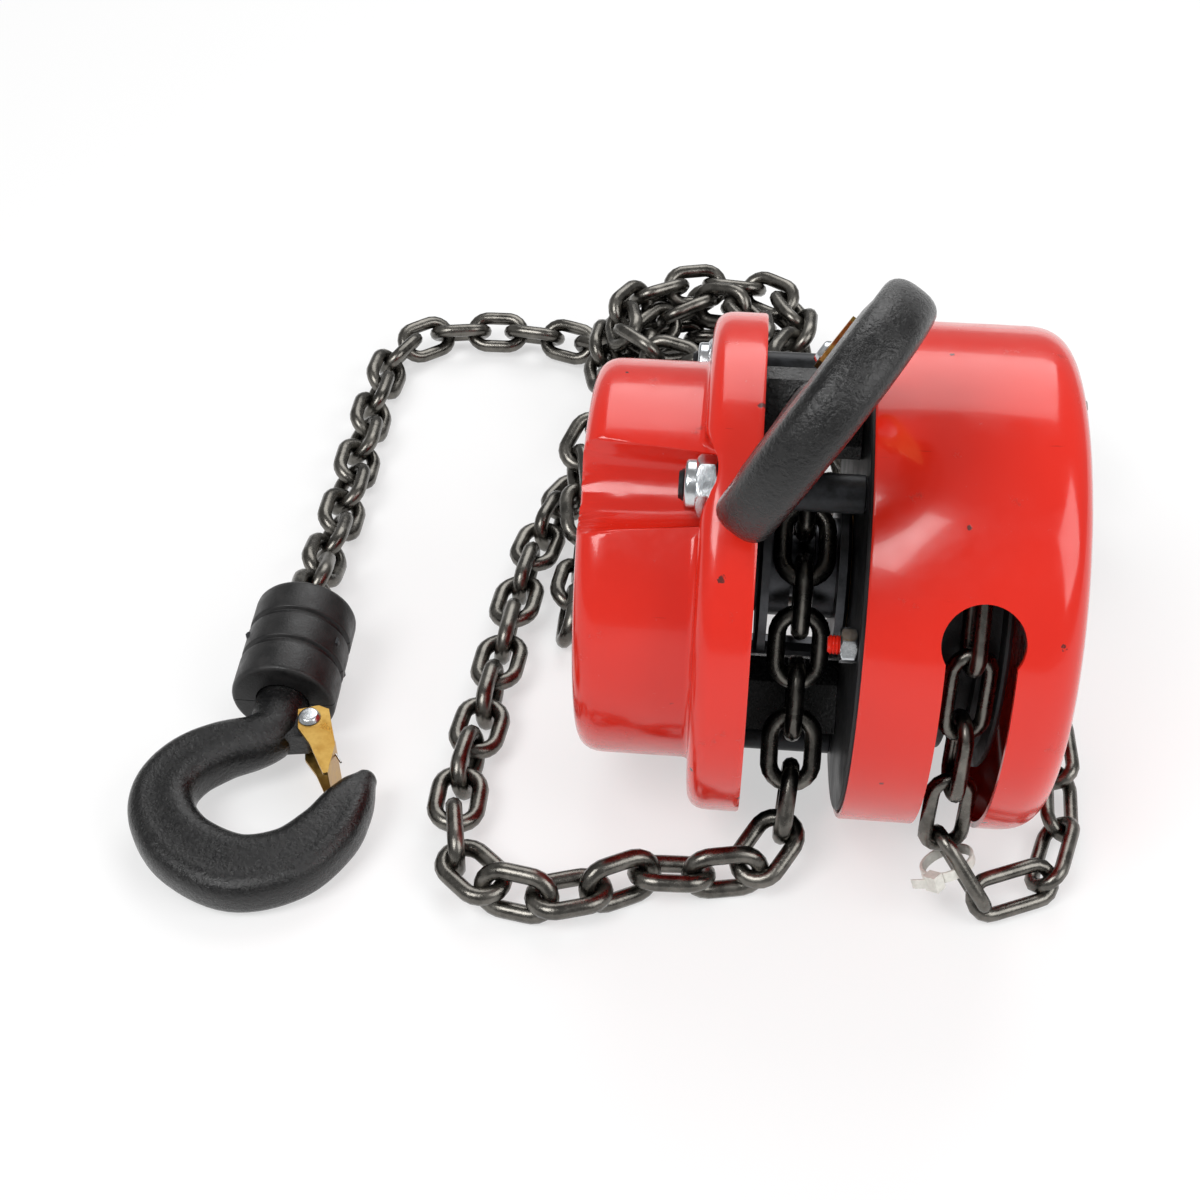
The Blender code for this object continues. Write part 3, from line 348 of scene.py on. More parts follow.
# Hand wheel: the grooved cast wheel that the hand chain turns, held on the shaft by its nut.
# Black cast iron, left rough as cast and greasy, seen through the cover's slot.
cast_iron = clouded("black_cast_iron", "#1C1C1E", 0.5, 0.0, 5.0, ("#151516", "#2A2A2C"),
                    (0.4, 0.65), 0.9, 0.35)
wheel_low, wheel_high = (corner * 1000 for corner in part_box("hand_wheel"))
rim = (wheel_high.z - wheel_low.z) / 2
groove = [(41.9, SHAFT_BORE_R), (41.9, 43.0), (39.5, 46.0), (39.5, rim - 1), (40.5, rim), (41.5, rim),
          (42.3, 58.2), (48.0, 58.2), (48.0, 52.4), (54.0, 52.4), (54.0, 58.2), (59.7, 58.2), (60.5, rim),
          (61.5, rim), (62.5, rim - 1), (62.5, 47.0), (48.2, 45.0), (48.0, 16.0), (70.0, 15.0),
          (70.0, SHAFT_BORE_R)]
show("cast_hand_wheel", around(groove, 144), hoist, cast_iron, "wheel_train", "hand_wheel")


# Gear cover: a drum of pressed steel sheet with a smaller drum standing on it, held on the stay bolts.
# Three pads for the lock nuts are sunk into it. Gloss red stove enamel, scuffed and chipped from use.
COVER_WALL = 2.0
COVER_IN_R = COVER_R - COVER_WALL
DOME_R = 67.0
GEAR_OPEN_X = -16.5
GEAR_STEP_X = -34.0
STAY_RING_R = 69.0
STAY_ANGLES = {"front": 25.0, "top": 107.0, "bottom": 247.0}
FINE_STEP = 1.6
COARSE_STEP = 30.0
FINE_FROM_R = 50.0
PAD_X = -26.5
PAD_R = 11.2
PAD_IN_R = 13.0
PAD_SLOPE = 5.0


def rounded(corners, steps=7):
    """A profile of corners (x, r, radius), rounded where the radius isn't 0."""
    out = []
    for k, (x, r, f) in enumerate(corners):
        here = Vector((x, r))
        if not f:
            out.append((x, r))
            continue
        a = Vector(corners[k - 1][:2]) - here
        b = Vector(corners[(k + 1) % len(corners)][:2]) - here
        back_off = f / math.tan(a.angle(b) / 2)
        p, q = here + a.normalized() * back_off, here + b.normalized() * back_off
        for i in range(steps + 1):
            t = i / steps
            out.append(tuple(p * (1 - t) ** 2 + here * (2 * t * (1 - t)) + q * t * t))
    return out


def ring_spot(r, angle):
    """(y, z) on a ring about the axle, with the angle up from the front."""
    return -r * math.cos(math.radians(angle)), r * math.sin(math.radians(angle))


def stepped(profile, longest):
    """The same profile with no step longer than that where the pads are pressed, outside FINE_FROM_R."""
    out = []
    for p, q in zip(profile, profile[1:]):
        most = longest if max(p[1], q[1]) > FINE_FROM_R else COARSE_STEP
        count = max(1, math.ceil(math.dist(p, q) / most))
        out += [(p[0] + (q[0] - p[0]) * i / count, p[1] + (q[1] - p[1]) * i / count) for i in range(count)]
    return out + [profile[-1]]


red_enamel, leaf, shader, mm = begin("red_stove_enamel", "#D62717", 0.2)
shader.inputs["Specular IOR Level"].default_value = 0.4
shader.inputs["Coat Weight"].default_value = 0.25
shader.inputs["Coat Roughness"].default_value = 0.05
drift = add(leaf, "TexNoise", [("Vector", mm)], Scale=1 / 45.0, Detail=3.0).outputs[0]
enamel = add(leaf, "MixRGB", [("Fac", drift)], Color1=tint("#DC2A19"), Color2=tint("#CE2114")).outputs[0]
smear = add(leaf, "TexNoise", [("Vector", mm)], Scale=1 / 11.0, Detail=7.0, Roughness=0.72).outputs[0]
soiled = add(leaf, "MapRange", [("Value", smear)], From_Min=0.64, From_Max=0.76, To_Max=0.55).outputs[0]
enamel = add(leaf, "MixRGB", [("Fac", soiled), ("Color1", enamel)], Color2=tint("#7C1A12")).outputs[0]
slant = add(leaf, "Mapping", [("Vector", mm)], Rotation=(0.5, 0.9, 0.3),
            Scale=(1 / 30, 1 / 30, 1 / 0.9)).outputs[0]
streak = add(leaf, "TexNoise", [("Vector", slant)], Scale=1.0, Detail=3.0, Roughness=0.7).outputs[0]
scratch = add(leaf, "MapRange", [("Value", streak)], From_Min=0.73, From_Max=0.77, To_Max=0.5).outputs[0]
enamel = add(leaf, "MixRGB", [("Fac", scratch), ("Color1", enamel)], Color2=tint("#8E1C14")).outputs[0]
flake = add(leaf, "TexVoronoi", [("Vector", mm)], Scale=1 / 17.0, Randomness=1.0).outputs["Distance"]
ragged = add(leaf, "TexNoise", [("Vector", mm)], Scale=1 / 1.6, Detail=3.0).outputs[0]
edge = add(leaf, "Math", [(0, ragged)], operation="MULTIPLY", at1=0.17).outputs[0]
core = add(leaf, "Math", [(0, flake), (1, edge)], operation="ADD").outputs[0]
chip = add(leaf, "MapRange", [("Value", core)], From_Min=0.15, From_Max=0.135, To_Max=0.9).outputs[0]
enamel = add(leaf, "MixRGB", [("Fac", chip), ("Color1", enamel)], Color2=tint("#3A2320")).outputs[0]
leaf.links.new(enamel, shader.inputs["Base Color"])
dull = add(leaf, "MapRange", [("Value", smear)], From_Min=0.35, From_Max=0.75,
           To_Min=0.13, To_Max=0.32).outputs[0]
leaf.links.new(dull, shader.inputs["Roughness"])
peel = add(leaf, "TexNoise", [("Vector", mm)], Scale=1 / 3.2, Detail=2.0).outputs[0]
sunk = add(leaf, "Math", [(0, chip)], operation="MULTIPLY", at1=-2.0).outputs[0]
height = add(leaf, "Math", [(0, peel), (1, sunk)], operation="ADD").outputs[0]
dent = add(leaf, "Bump", [("Height", height)], Strength=0.12, Distance=0.0002)
leaf.links.new(dent.outputs[0], shader.inputs["Normal"])

dome_in_r = DOME_R - COVER_WALL
step_in_x = GEAR_STEP_X + COVER_WALL
end_in_x = GEAR_END_X + COVER_WALL
lip_x = GEAR_OPEN_X - 0.7
outside = rounded([(GEAR_END_X, 0, 0), (GEAR_END_X, DOME_R, 9), (GEAR_STEP_X, DOME_R, 2.5),
                   (GEAR_STEP_X, COVER_R, 7), (lip_x, COVER_R, 0), (GEAR_OPEN_X, COVER_R - 0.4, 0)])
inside = rounded([(GEAR_OPEN_X, COVER_IN_R + 0.4, 0), (lip_x, COVER_IN_R, 0), (step_in_x, COVER_IN_R, 5),
                  (step_in_x, dome_in_r, 2), (end_in_x, dome_in_r, 7), (end_in_x, 0, 0)])
outside, inside = stepped(outside, FINE_STEP), stepped(inside, FINE_STEP)
verts, faces = around(outside + inside, 288)
pads = [ring_spot(STAY_RING_R, angle) for angle in STAY_ANGLES.values()]
pressed = []
for k, (x, y, z) in enumerate(verts):
    inner = k % (len(outside) + len(inside)) >= len(outside)
    level = PAD_X + COVER_WALL if inner else PAD_X
    for py, pz in pads:
        d = math.hypot(y - py, z - pz)
        t = min(1.0, max(0.0, (d - (PAD_IN_R if inner else PAD_R)) / PAD_SLOPE))
        t = t * t * (3 - 2 * t)
        if x < level:
            x = level + (x - level) * t
    pressed.append((x, y, z))
show("gear_cover_pressing", (pressed, faces), hoist, red_enamel, "frame", "gear_cover", sharp=50.0)

# Hand wheel cover: a deep drum drawn from steel sheet, bolted to the side plate by a flange inside it.
# A slot with round ends lets the hand chain in and out underneath; same red enamel.
WHEEL_X = 51.0
WHEEL_OPEN_X = 16.5
WHEEL_END_X = 82.0
FLANGE_IN_R = 62.0
FLANGE_X = 20.8
SLOT_HALF = 10.5
SLOT_END_R = 12.4
SLOT_FRONT, SLOT_BACK = -8.0, 176.0
BLADE_IN_R, BLADE_OUT_R = 70, 95
SLOT_FACETS = 48


def ease_edges(made, angle, width, segments):
    """A rounding, `width` metres wide, wherever faces meet at more than the angle."""
    ease = made.modifiers.new("eased_edges", "BEVEL")
    ease.limit_method = "ANGLE"
    ease.angle_limit = math.radians(angle)
    ease.width = width
    ease.segments = segments
    return ease


wheel_in_x = WHEEL_END_X - COVER_WALL
flange_end_x = FLANGE_X + COVER_WALL
wheel_lip_x = WHEEL_OPEN_X + 0.7
drum = rounded([(WHEEL_OPEN_X, COVER_IN_R + 0.4, 0), (WHEEL_OPEN_X, COVER_R - 0.4, 0),
                (wheel_lip_x, COVER_R, 0), (WHEEL_END_X, COVER_R, 14), (WHEEL_END_X, 0, 0),
                (wheel_in_x, 0, 0), (wheel_in_x, COVER_IN_R, 12), (flange_end_x, COVER_IN_R, 0),
                (flange_end_x, FLANGE_IN_R, 0), (FLANGE_X, FLANGE_IN_R, 0), (FLANGE_X, COVER_IN_R, 0),
                (wheel_lip_x, COVER_IN_R, 0)], 12)
wheel_cover = show("wheel_cover_drawing", around(drum, 240), hoist, red_enamel, "frame", "wheel_cover",
                   sharp=40.0)
slot_low, slot_high = WHEEL_X - SLOT_HALF, WHEEL_X + SLOT_HALF
groove_blade = [(slot_low, BLADE_IN_R), (slot_low, BLADE_OUT_R), (slot_high, BLADE_OUT_R),
                (slot_high, BLADE_IN_R)]
cutters = [around(groove_blade, 80, SLOT_BACK - 360.0, SLOT_FRONT - SLOT_BACK + 360.0)]
for angle in (SLOT_FRONT, SLOT_BACK):
    out = Vector((0, *ring_spot(1, angle)))
    across = out.cross(Vector((1, 0, 0)))
    circle = []
    for i in range(SLOT_FACETS):
        a = 2 * math.pi * i / SLOT_FACETS
        circle.append((WHEEL_X + SLOT_END_R * math.cos(a), SLOT_END_R * math.sin(a)))
    post = [tuple(out * d + Vector((x, 0, 0)) + across * s) for d in (BLADE_IN_R - 2, BLADE_OUT_R + 2)
            for x, s in circle]
    walls = [tuple(range(SLOT_FACETS)), tuple(range(SLOT_FACETS, 2 * SLOT_FACETS))]
    for i in range(SLOT_FACETS):
        j = (i + 1) % SLOT_FACETS
        walls.append((i, j, SLOT_FACETS + j, SLOT_FACETS + i))
    cutters.append((post, walls))
for shape in cutters:
    blade = show("slot_blade", shape, hoist, red_enamel, "frame")
    work = wheel_cover.modifiers.new("slot", "BOOLEAN")
    work.operation = "DIFFERENCE"
    work.solver = "EXACT"
    work.object = blade
    done = bpy.data.meshes.new_from_object(wheel_cover.evaluated_get(bpy.context.evaluated_depsgraph_get()))
    wheel_cover.modifiers.remove(work)
    wheel_cover.data = done
    bpy.data.objects.remove(blade, do_unlink=True)
wheel_cover.data.shade_smooth()
wheel_cover.data.set_sharp_from_angle(angle=math.radians(40))
ease_edges(wheel_cover, 55, 0.0007, 3).harden_normals = True

# Stay bolts: three shouldered steel rods that hold the plates apart, with split washers under their nuts.
# Black oxide, threaded where they pass the gear cover.
STAY_R = 6.0
STAY_THREAD_R = 5.0
THREAD_ROOT_R = 4.45
THREAD_STEP = 0.75


def moved(shape, y=0.0, z=0.0):
    """A shape shifted off the axle."""
    return [(p[0], p[1] + y, p[2] + z) for p in shape[0]], shape[1]


oxide = clouded("black_oxide_steel", "#232426", 0.4, 0.55, 4.0, ("#1B1C1E", "#303236"),
                (0.3, 0.5), 0.7, 0.12)
for name, angle in STAY_ANGLES.items():
    y, z = ring_spot(STAY_RING_R, angle)
    shank = [(-41.1, 0), (-41.1, 4.2)]
    shank += [(-40.5 + THREAD_STEP * k, STAY_THREAD_R if k % 2 else THREAD_ROOT_R) for k in range(28)]
    shank += [(-18.9, STAY_THREAD_R), (-18.9, STAY_R - 0.4), (-18.5, STAY_R), (14.8, STAY_R),
              (15.2, STAY_R - 0.4), (15.2, STAY_THREAD_R), (FLANGE_X, STAY_THREAD_R), (FLANGE_X, 7.0),
              (flange_end_x, 6.0), (flange_end_x, 0)]
    show("stay_bolt_" + name, moved(around(shank, 40), y, z), hoist, oxide, "frame", "stay_" + name)
    split = [(-26.7, 5.4), (-26.7, 8.5), (-27.0, 8.8), (-28.8, 8.8), (-29.1, 8.5), (-29.1, 5.4)]
    show("split_washer_" + name, moved(around(split, 56, angle + 8, 344.0), y, z), hoist, oxide, "frame",
         "spring_washer_" + name)

# Lock nuts and cover nuts: hexagon nuts of bright zinc plated steel, chamfered at both ends.
# The lock nuts carry a nylon collar in a domed end; the cover nuts' studs are painted over with the cover.
STUD_RING_R = 71.0
STUD_ANGLES = {"front": -13.0, "rear": 140.0, "bottom": 220.0}
NUT_AF = 17.0
NUT_TOP_X, NUT_FOOT_X = -35.9, -29.3
NUT_BORE_R = 5.3
COVER_NUT_AF = 10.0
STUD_R = 3.0
STUD_ROOT_R = 2.6
zinc = clouded("bright_zinc_plate", "#C6C9CC", 0.2, 1.0, 5.0, ("#B4B8BC", "#D6D9DB"), (0.14, 0.3), 0.6, 0.06)
nylon = clouded("natural_nylon", "#D9D8D0", 0.5, 0.0, 2.0, ("#CFCEC6", "#E2E1DA"), (0.42, 0.6), 0.5, 0.08)


def join(*shapes):
    """Several shapes as one."""
    verts, faces = [], []
    for v, f in shapes:
        base = len(verts)
        verts += list(v)
        faces += [tuple(i + base for i in face) for face in f]
    return verts, faces


def hexagon_nut(flats, x0, x1, bore, turn, chamfer):
    """A chamfered hexagon along X with a bore."""
    corner = flats / 2 / math.cos(math.pi / 6)
    face = flats / 2 * 0.97
    slope = [(chamfer * t, face + (corner - face) * t) for t in (0.25, 0.5, 0.75, 1.0)]
    levels = [(x0, bore), (x0, face)] + [(x0 + d, r) for d, r in slope]
    levels += [(x1 - d, r) for d, r in reversed(slope)] + [(x1, face), (x1, bore)]
    verts, faces = around(levels, 96)
    out = []
    for x, y, z in verts:
        r, a = math.hypot(y, z), math.atan2(z, y)
        wedge = (a - turn + math.pi / 6) % (math.pi / 3) - math.pi / 6
        r = min(r, flats / 2 / math.cos(wedge))
        out.append((x, r * math.cos(a), r * math.sin(a)))
    return out, faces


for name, angle in STAY_ANGLES.items():
    y, z = ring_spot(STAY_RING_R, angle)
    body = hexagon_nut(NUT_AF, NUT_TOP_X, NUT_FOOT_X, NUT_BORE_R, math.radians(45), 1.1)
    cup = around(rounded([(-35.6, NUT_BORE_R, 0), (-35.6, 7.9, 0), (-39.3, 7.9, 1.4), (-39.3, 6.7, 0),
                          (-38.6, 6.6, 0), (-36.5, NUT_BORE_R, 0)]), 64)
    show("lock_nut_hexagon_" + name, moved(join(body, cup), y, z), hoist, zinc, "frame", "lock_nut_" + name,
         sharp=25.0)
    collar = around(rounded([(-36.0, 5.1, 0), (-36.0, 6.6, 0), (-38.7, 6.6, 0.5), (-38.7, 5.1, 0.4)]), 48)
    insert = show("lock_nut_collar_" + name, moved(collar, y, z), hoist, nylon, "frame")
for name, angle in STUD_ANGLES.items():
    y, z = ring_spot(STUD_RING_R, angle)
    body = hexagon_nut(COVER_NUT_AF, 10.1, 15.3, 3.2, math.radians(70), 0.8)
    show("cover_nut_hexagon_" + name, moved(body, y, z), hoist, zinc, "frame", "cover_nut_" + name,
         sharp=25.0)
    pin = [(6.5, 0), (6.5, 2.3)] + [(7.0 + 0.5 * k, STUD_R if k % 2 else STUD_ROOT_R) for k in range(17)]
    pin += [(23.1, STUD_R), (23.1, 5.0), (26.7, 4.4), (26.7, 0)]
    show("cover_stud_thread_" + name, moved(around(pin, 32), y, z), hoist, red_enamel, "frame",
         "cover_stud_" + name)
recoat(zinc, "shaft_nut")

# Top hook: a forged steel hook whose neck turns in a yoke that swings between the side plates.
# Painted black over forge scale, so it is rough and glossy, in slightly uneven shades.
TOP_NECK = 40.0
YOKE_PIN = (0, -24.0, 52.0)
YOKE_FACE = 13.0
YOKE_TURN = math.radians(88.0)
HOOK_TURN = math.radians(56.0)
forged = clouded("black_painted_forging", "#0B0B0C", 0.3, 0.0, 3.5, ("#070708", "#131313"),
                 (0.14, 0.36), 1.5, 0.75)
recoat(forged, "top_yoke", "chain_stripper")
for name in ("top_yoke", "chain_stripper"):
    ease_edges(frame["nodes"][name], 25, 0.0012, 3)

yoke_frame = hoist @ Matrix.Translation(YOKE_PIN) @ Matrix.Rotation(YOKE_TURN, 4, "X")
top_hook_frame = yoke_frame @ Matrix.Translation((0, 0, YOKE_FACE)) @ Matrix.Rotation(HOOK_TURN, 4, "Z")


def spline(points, per_span):
    """Catmull-Rom curve through the points."""
    p = [np.array(q, float) for q in points]
    p = [2 * p[0] - p[1]] + p + [2 * p[-1] - p[-2]]
    out = []
    for i in range(1, len(p) - 2):
        a, b, c, d = p[i - 1], p[i], p[i + 1], p[i + 2]
        for s in range(per_span):
            t = s / per_span
            bend = (2 * a - 5 * b + 4 * c - d) * t * t
            out.append(0.5 * (2 * b + (c - a) * t + bend + (3 * b - a - 3 * c + d) * t ** 3))
    return out + [p[-2]]


def forging(neck, head):
    """The hook: a round neck and head, and a flattened bowl with a shallow channel on both sides."""
    line = [(0, neck - 5, 9.5, 9.5), (-6, neck, 9.8, 9.6), (-17, neck + 5, 10, 9.6),
            (-27, neck + 13, 10.5, 9.5), (-32, neck + 24, 11, 9.5), (-29.5, neck + 36, 11.6, 9.5),
            (-18.5, neck + 48, 12.4, 9.5), (0, neck + 55, 13, 9.5), (17, neck + 50, 12.3, 9.5),
            (27.5, neck + 38, 11, 9.4), (32, neck + 27, 9.3, 9), (34.6, neck + 19, 7, 7.6),
            (36.6, neck + 13.5, 4.2, 5)]
    fine = spline(line, 8)
    rings = [(Vector((0, 0, z)), Vector((0, 0, 1)), r, r, 0.0) for z, r in head]
    for k, (x, z, a, b) in enumerate(fine):
        p, q = fine[max(k - 1, 0)], fine[min(k + 1, len(fine) - 1)]
        d = Vector((q[0] - p[0], 0, q[1] - p[1])).normalized() if k else Vector((0, 0, 1))
        s = k / (len(fine) - 1)
        flat = min(1.0, max(0.0, (s - 0.08) / 0.12)) * min(1.0, (1 - s) / 0.2)
        rings.append((Vector((x, 0, z)), d, a, b, flat))
    centre, d, a, b, _ = rings[-1]
    for step, shrink in ((1.6, 0.86), (2.7, 0.6), (3.3, 0.25)):
        rings.append((centre + d * step, d, a * shrink, b * shrink, 0.0))
    sides = 36
    verts, faces = [], []
    for c, d, a, b, flat in rings:
        u = Vector((d.z, 0, -d.x))
        for i in range(sides):
            t = 2 * math.pi * (i + 0.5) / sides
            power = 2 / (2 + 0.9 * flat)
            cu = math.copysign(abs(math.cos(t)) ** power, math.cos(t))
            sv = math.copysign(abs(math.sin(t)) ** power, math.sin(t))
            sv *= 1 - 0.16 * flat * math.exp(-((cu + 0.12) / 0.36) ** 2)
            verts.append(tuple(c + u * (a * cu) + Vector((0, 1, 0)) * (b * sv)))
    for k in range(len(rings) - 1):
        for i in range(sides):
            j = (i + 1) % sides
            faces.append((k * sides + i, k * sides + j, (k + 1) * sides + j, (k + 1) * sides + i))
    faces += [tuple(range(sides)), tuple(range((len(rings) - 1) * sides, len(rings) * sides))]
    lug = rounded([(3, neck - 11, 0), (14.5, neck - 11, 3), (18.2, neck - 7.5, 2), (18.2, neck - 3.0, 3),
                   (13, neck - 0.5, 2), (3, neck + 1, 0)], 4)
    n = len(lug)
    lug_verts = [(x, w, z) for w in (-5, 5) for x, z in lug]
    lug_faces = [tuple(range(n)), tuple(range(n, 2 * n))]
    lug_faces += [(i, (i + 1) % n, n + (i + 1) % n, n + i) for i in range(n)]
    return join((verts, faces), (lug_verts, lug_faces))


top_forging = forging(TOP_NECK, [(-31.3, 12.5), (-23.3, 12.5), (-23.3, 9.5)])
show("top_hook_forging", top_forging, top_hook_frame, forged, "top_hook_body", "top_hook", sharp=45.0)

# Hook latches: bent strips that close the hooks' mouths, on riveted pins, pushed shut by wire springs.
# Steel strip with yellow passivated zinc, which shows gold in drifting shades.
LATCH_PIN_X = 14.0
LATCH_PIN_DROP = 5.5
LATCH_WIRE_R = 0.4
LATCH_COIL_R = 3.5
LATCH_COIL_Y = 5.7
LATCH_COIL_L = 2.2
LATCH_TURNS = 2
LATCH_STEPS = 40
passivated = clouded("yellow_passivated_zinc", "#B98F45", 0.32, 1.0, 6.0, ("#A97E39", "#CDA95F"),
                     (0.24, 0.42), 0.7, 0.08)


def latch_pin(neck):
    """The rivet's shank and its two round heads, along the hook's Y."""
    profile = rounded([(-11.6, 0, 0), (-11.6, 3.0, 1.2), (-10.1, 4.0, 0), (-10.1, 2.5, 0), (10.1, 2.5, 0),
                       (10.1, 4.0, 0), (11.6, 3.0, 1.2), (11.6, 0, 0)], 4)
    verts, faces = around(profile, 32)
    return [(LATCH_PIN_X + v[1], v[0], neck - LATCH_PIN_DROP + v[2]) for v in verts], faces


def latch_spring(neck):
    """Two turns of wire round the pin, with a leg along the latch and one along the hook."""
    px, pz = LATCH_PIN_X, neck - LATCH_PIN_DROP
    path = [(px + 14.0, LATCH_COIL_Y, pz + 16.0), (px + 8.0, LATCH_COIL_Y, pz + 8.0)]
    for k in range(LATCH_STEPS + 1):
        a = 2 * math.pi * LATCH_TURNS * k / LATCH_STEPS
        y = LATCH_COIL_Y + LATCH_COIL_L * k / LATCH_STEPS
        path.append((px + LATCH_COIL_R * math.cos(a), y, pz + LATCH_COIL_R * math.sin(a)))
    path.append((px + 2.6, LATCH_COIL_Y + LATCH_COIL_L, pz - 6.0))
    return bar(path, LATCH_WIRE_R, 10)


show("top_latch_rivet", latch_pin(TOP_NECK), top_hook_frame, zinc, "top_hook_body", "top_latch_pin")
show("top_latch_wire", latch_spring(TOP_NECK), top_hook_frame, wire, "top_hook_body", "top_latch_spring")
recoat(passivated, "top_latch", "load_latch")
for name in ("top_latch", "load_latch"):
    ease_edges(frame["nodes"][name], 35, 0.0004, 2)

# Load block: two cast halves riveted together round the load hook's head and the last link's pin.
# Black painted castings with two turned grooves, dulled by handling.
BLOCK_R = 19.0
BLOCK_L = 44.0
BLOCK_BORE_R = 11.6
BLOCK_GROOVE_R = 17.6
tilt = math.radians(7.0)
block_spot = foot + Vector((-183.0, -16.0, BLOCK_R * math.cos(tilt) + 0.1))
laid_down = Matrix(((1, 0, 0, 0), (0, -math.sin(tilt), -math.cos(tilt), 0),
                    (0, math.cos(tilt), -math.sin(tilt), 0), (0, 0, 0, 1)))
load_hook_frame = Matrix.Translation(block_spot) @ laid_down
casting = clouded("dulled_black_casting", "#121213", 0.45, 0.0, 5.0, ("#0C0C0D", "#1D1C1C"),
                  (0.32, 0.55), 0.9, 0.25)
shell = [(-BLOCK_L, BLOCK_BORE_R, 0), (-BLOCK_L, BLOCK_R, 3), (-30.6, BLOCK_R, 0.8),
         (-29.8, BLOCK_GROOVE_R, 0.4), (-28.2, BLOCK_GROOVE_R, 0.4), (-27.4, BLOCK_R, 0.8),
         (-16.6, BLOCK_R, 0.8), (-15.8, BLOCK_GROOVE_R, 0.4), (-14.2, BLOCK_GROOVE_R, 0.4),
         (-13.4, BLOCK_R, 0.8), (0, BLOCK_R, 2), (0, 9.9, 0), (-8, 9.9, 0), (-8, 13.4, 0), (-18, 13.4, 0),
         (-20, BLOCK_BORE_R, 0)]
for name, start, lift in (("upper", 0.0, 0.15), ("lower", 180.0, -0.15)):
    verts, faces = around(rounded(shell, 4), 48, start, 180.0)
    half = [(-v[1], v[2] + lift, v[0]) for v in verts], faces
    show("load_block_casting_" + name, half, load_hook_frame, casting, "frame", "load_block_" + name)
recoat(oxide, "block_rivet_left", "block_rivet_right")

# Load hook: the same forging as the top hook, turning in the load block, with its own latch.
# Its latch lies closed against the tip.
LOAD_NECK = 19.0
load_forging = forging(LOAD_NECK, [(-17.6, 13.0), (-8.4, 13.0), (-8.4, 9.5)])
show("load_hook_forging", load_forging, load_hook_frame, forged, "load_hook_body", "load_hook", sharp=45.0)
show("load_latch_rivet", latch_pin(LOAD_NECK), load_hook_frame, zinc, "load_hook_body", "load_latch_pin")
show("load_latch_wire", latch_spring(LOAD_NECK), load_hook_frame, wire, "load_hook_body",
     "load_latch_spring")

# Load chain: welded links of round alloy bar, one strand from the load block to the heap behind the hoist,
# and one over the sheave and out to the front. Quench darkened steel, oiled, in slightly uneven shades.
LOAD_WIRE, LOAD_PITCH, LOAD_WIDTH = 6.0, 18.0, 20.5
TAUT = 1.015
LINK_LEAN = 45.0
LINK_WOBBLE = 9.0
LIES_BELOW, HANGS_OVER = 10.0, 16.0
HEAP_POINTS = 24
HEAP_UNEVEN = 2.2
chain_steel = clouded("oiled_dark_chain_steel", "#656360", 0.26, 1.0, 7.0, ("#55534F", "#7E7B75"),
                      (0.18, 0.36), 1.0, 0.12)


def link(centre, along, across, wire_d, pitch, width):
    """One welded link: round bar bent to an oval and closed."""
    bars, sides = 28, 10
    bow = width / 2 - wire_d / 2
    straight = pitch / 2 + wire_d / 2 - bow
    normal = along.cross(across)
    round_end = math.pi * bow
    verts, faces = [], []
    for i in range(bars):
        way = (i + 0.5) / bars * (2 * round_end + 4 * straight)
        end = 1 if way < round_end + 2 * straight else -1
        way -= 0 if end == 1 else round_end + 2 * straight
        t = min(way, round_end) / bow
        down = max(0.0, way - round_end)
        c, s = end * math.cos(t), end * math.sin(t)
        spot = centre + across * (bow * c) + along * (bow * s + end * (straight - down))
        out = across * c + along * s
        for j in range(sides):
            a = 2 * math.pi * j / sides
            verts.append(tuple(spot + (out * math.cos(a) + normal * math.sin(a)) * (wire_d / 2)))
    for i in range(bars):
        n = (i + 1) % bars
        for j in range(sides):
            m = (j + 1) % sides
            faces.append((i * sides + j, i * sides + m, n * sides + m, n * sides + j))
    return verts, faces


def strand(path, wire_d, pitch, width, side, hangs):
    """Links a pitch apart on a path, each a quarter turned; those that lie on the table lean over.

    Where the strand hangs, links lean only as they near the table."""
    steps, k = [np.array(path[0])], 0
    while k < len(path) - 1:
        a, b = np.array(path[k]), np.array(path[k + 1])
        d, f = b - a, a - steps[-1]
        qa, qb, qc = d @ d, 2 * f @ d, f @ f - pitch * pitch
        root = qb * qb - 4 * qa * qc
        t = (-qb + math.sqrt(root)) / (2 * qa) if root >= 0 and qa > 0 else -1
        if 0 <= t <= 1:
            steps.append(a + d * t)
        else:
            k += 1
    shapes, across = [], Vector(side)
    for k in range(len(steps) - 1):
        a, b = Vector(steps[k]), Vector(steps[k + 1])
        along = (b - a).normalized()
        across = (across - along * across.dot(along)).normalized()
        lying = 1.0
        if hangs:
            lying = min(1.0, max(0.0, (HANGS_OVER - (a.z + b.z) / 2) / (HANGS_OVER - LIES_BELOW)))
        lean = LINK_LEAN * lying + LINK_WOBBLE * lying * math.sin(2.4 * k) + 90 * (k % 2)
        turned = Matrix.Rotation(math.radians(lean), 3, along) @ across
        shapes.append(link((a + b) / 2, along, turned, wire_d, pitch, width))
    return join(*shapes)


def heap(centre, outer, inner, turns, layers, start, rise, first):
    """Flat spiral layers one on the other, in and out by turns, a little uneven as chain drops."""
    out = []
    for k in range(1, int(turns * layers * HEAP_POINTS) + 1):
        s = k / HEAP_POINTS
        layer = int(min(s // turns, layers - 1))
        part = s / turns - layer
        r = outer + (inner - outer) * (part if layer % 2 == 0 else 1 - part)
        r += HEAP_UNEVEN * math.sin(2 * math.pi * 2.7 * s) * min(1.0, s)
        a = math.radians(start) - 2 * math.pi * s
        climb = max(0.0, 1 - (1 - part) * turns / 0.35)
        z = first + rise * min(layer + climb, layers - 1)
        out.append((centre[0] + r * math.cos(a), centre[1] + r * math.sin(a), z))
    return out


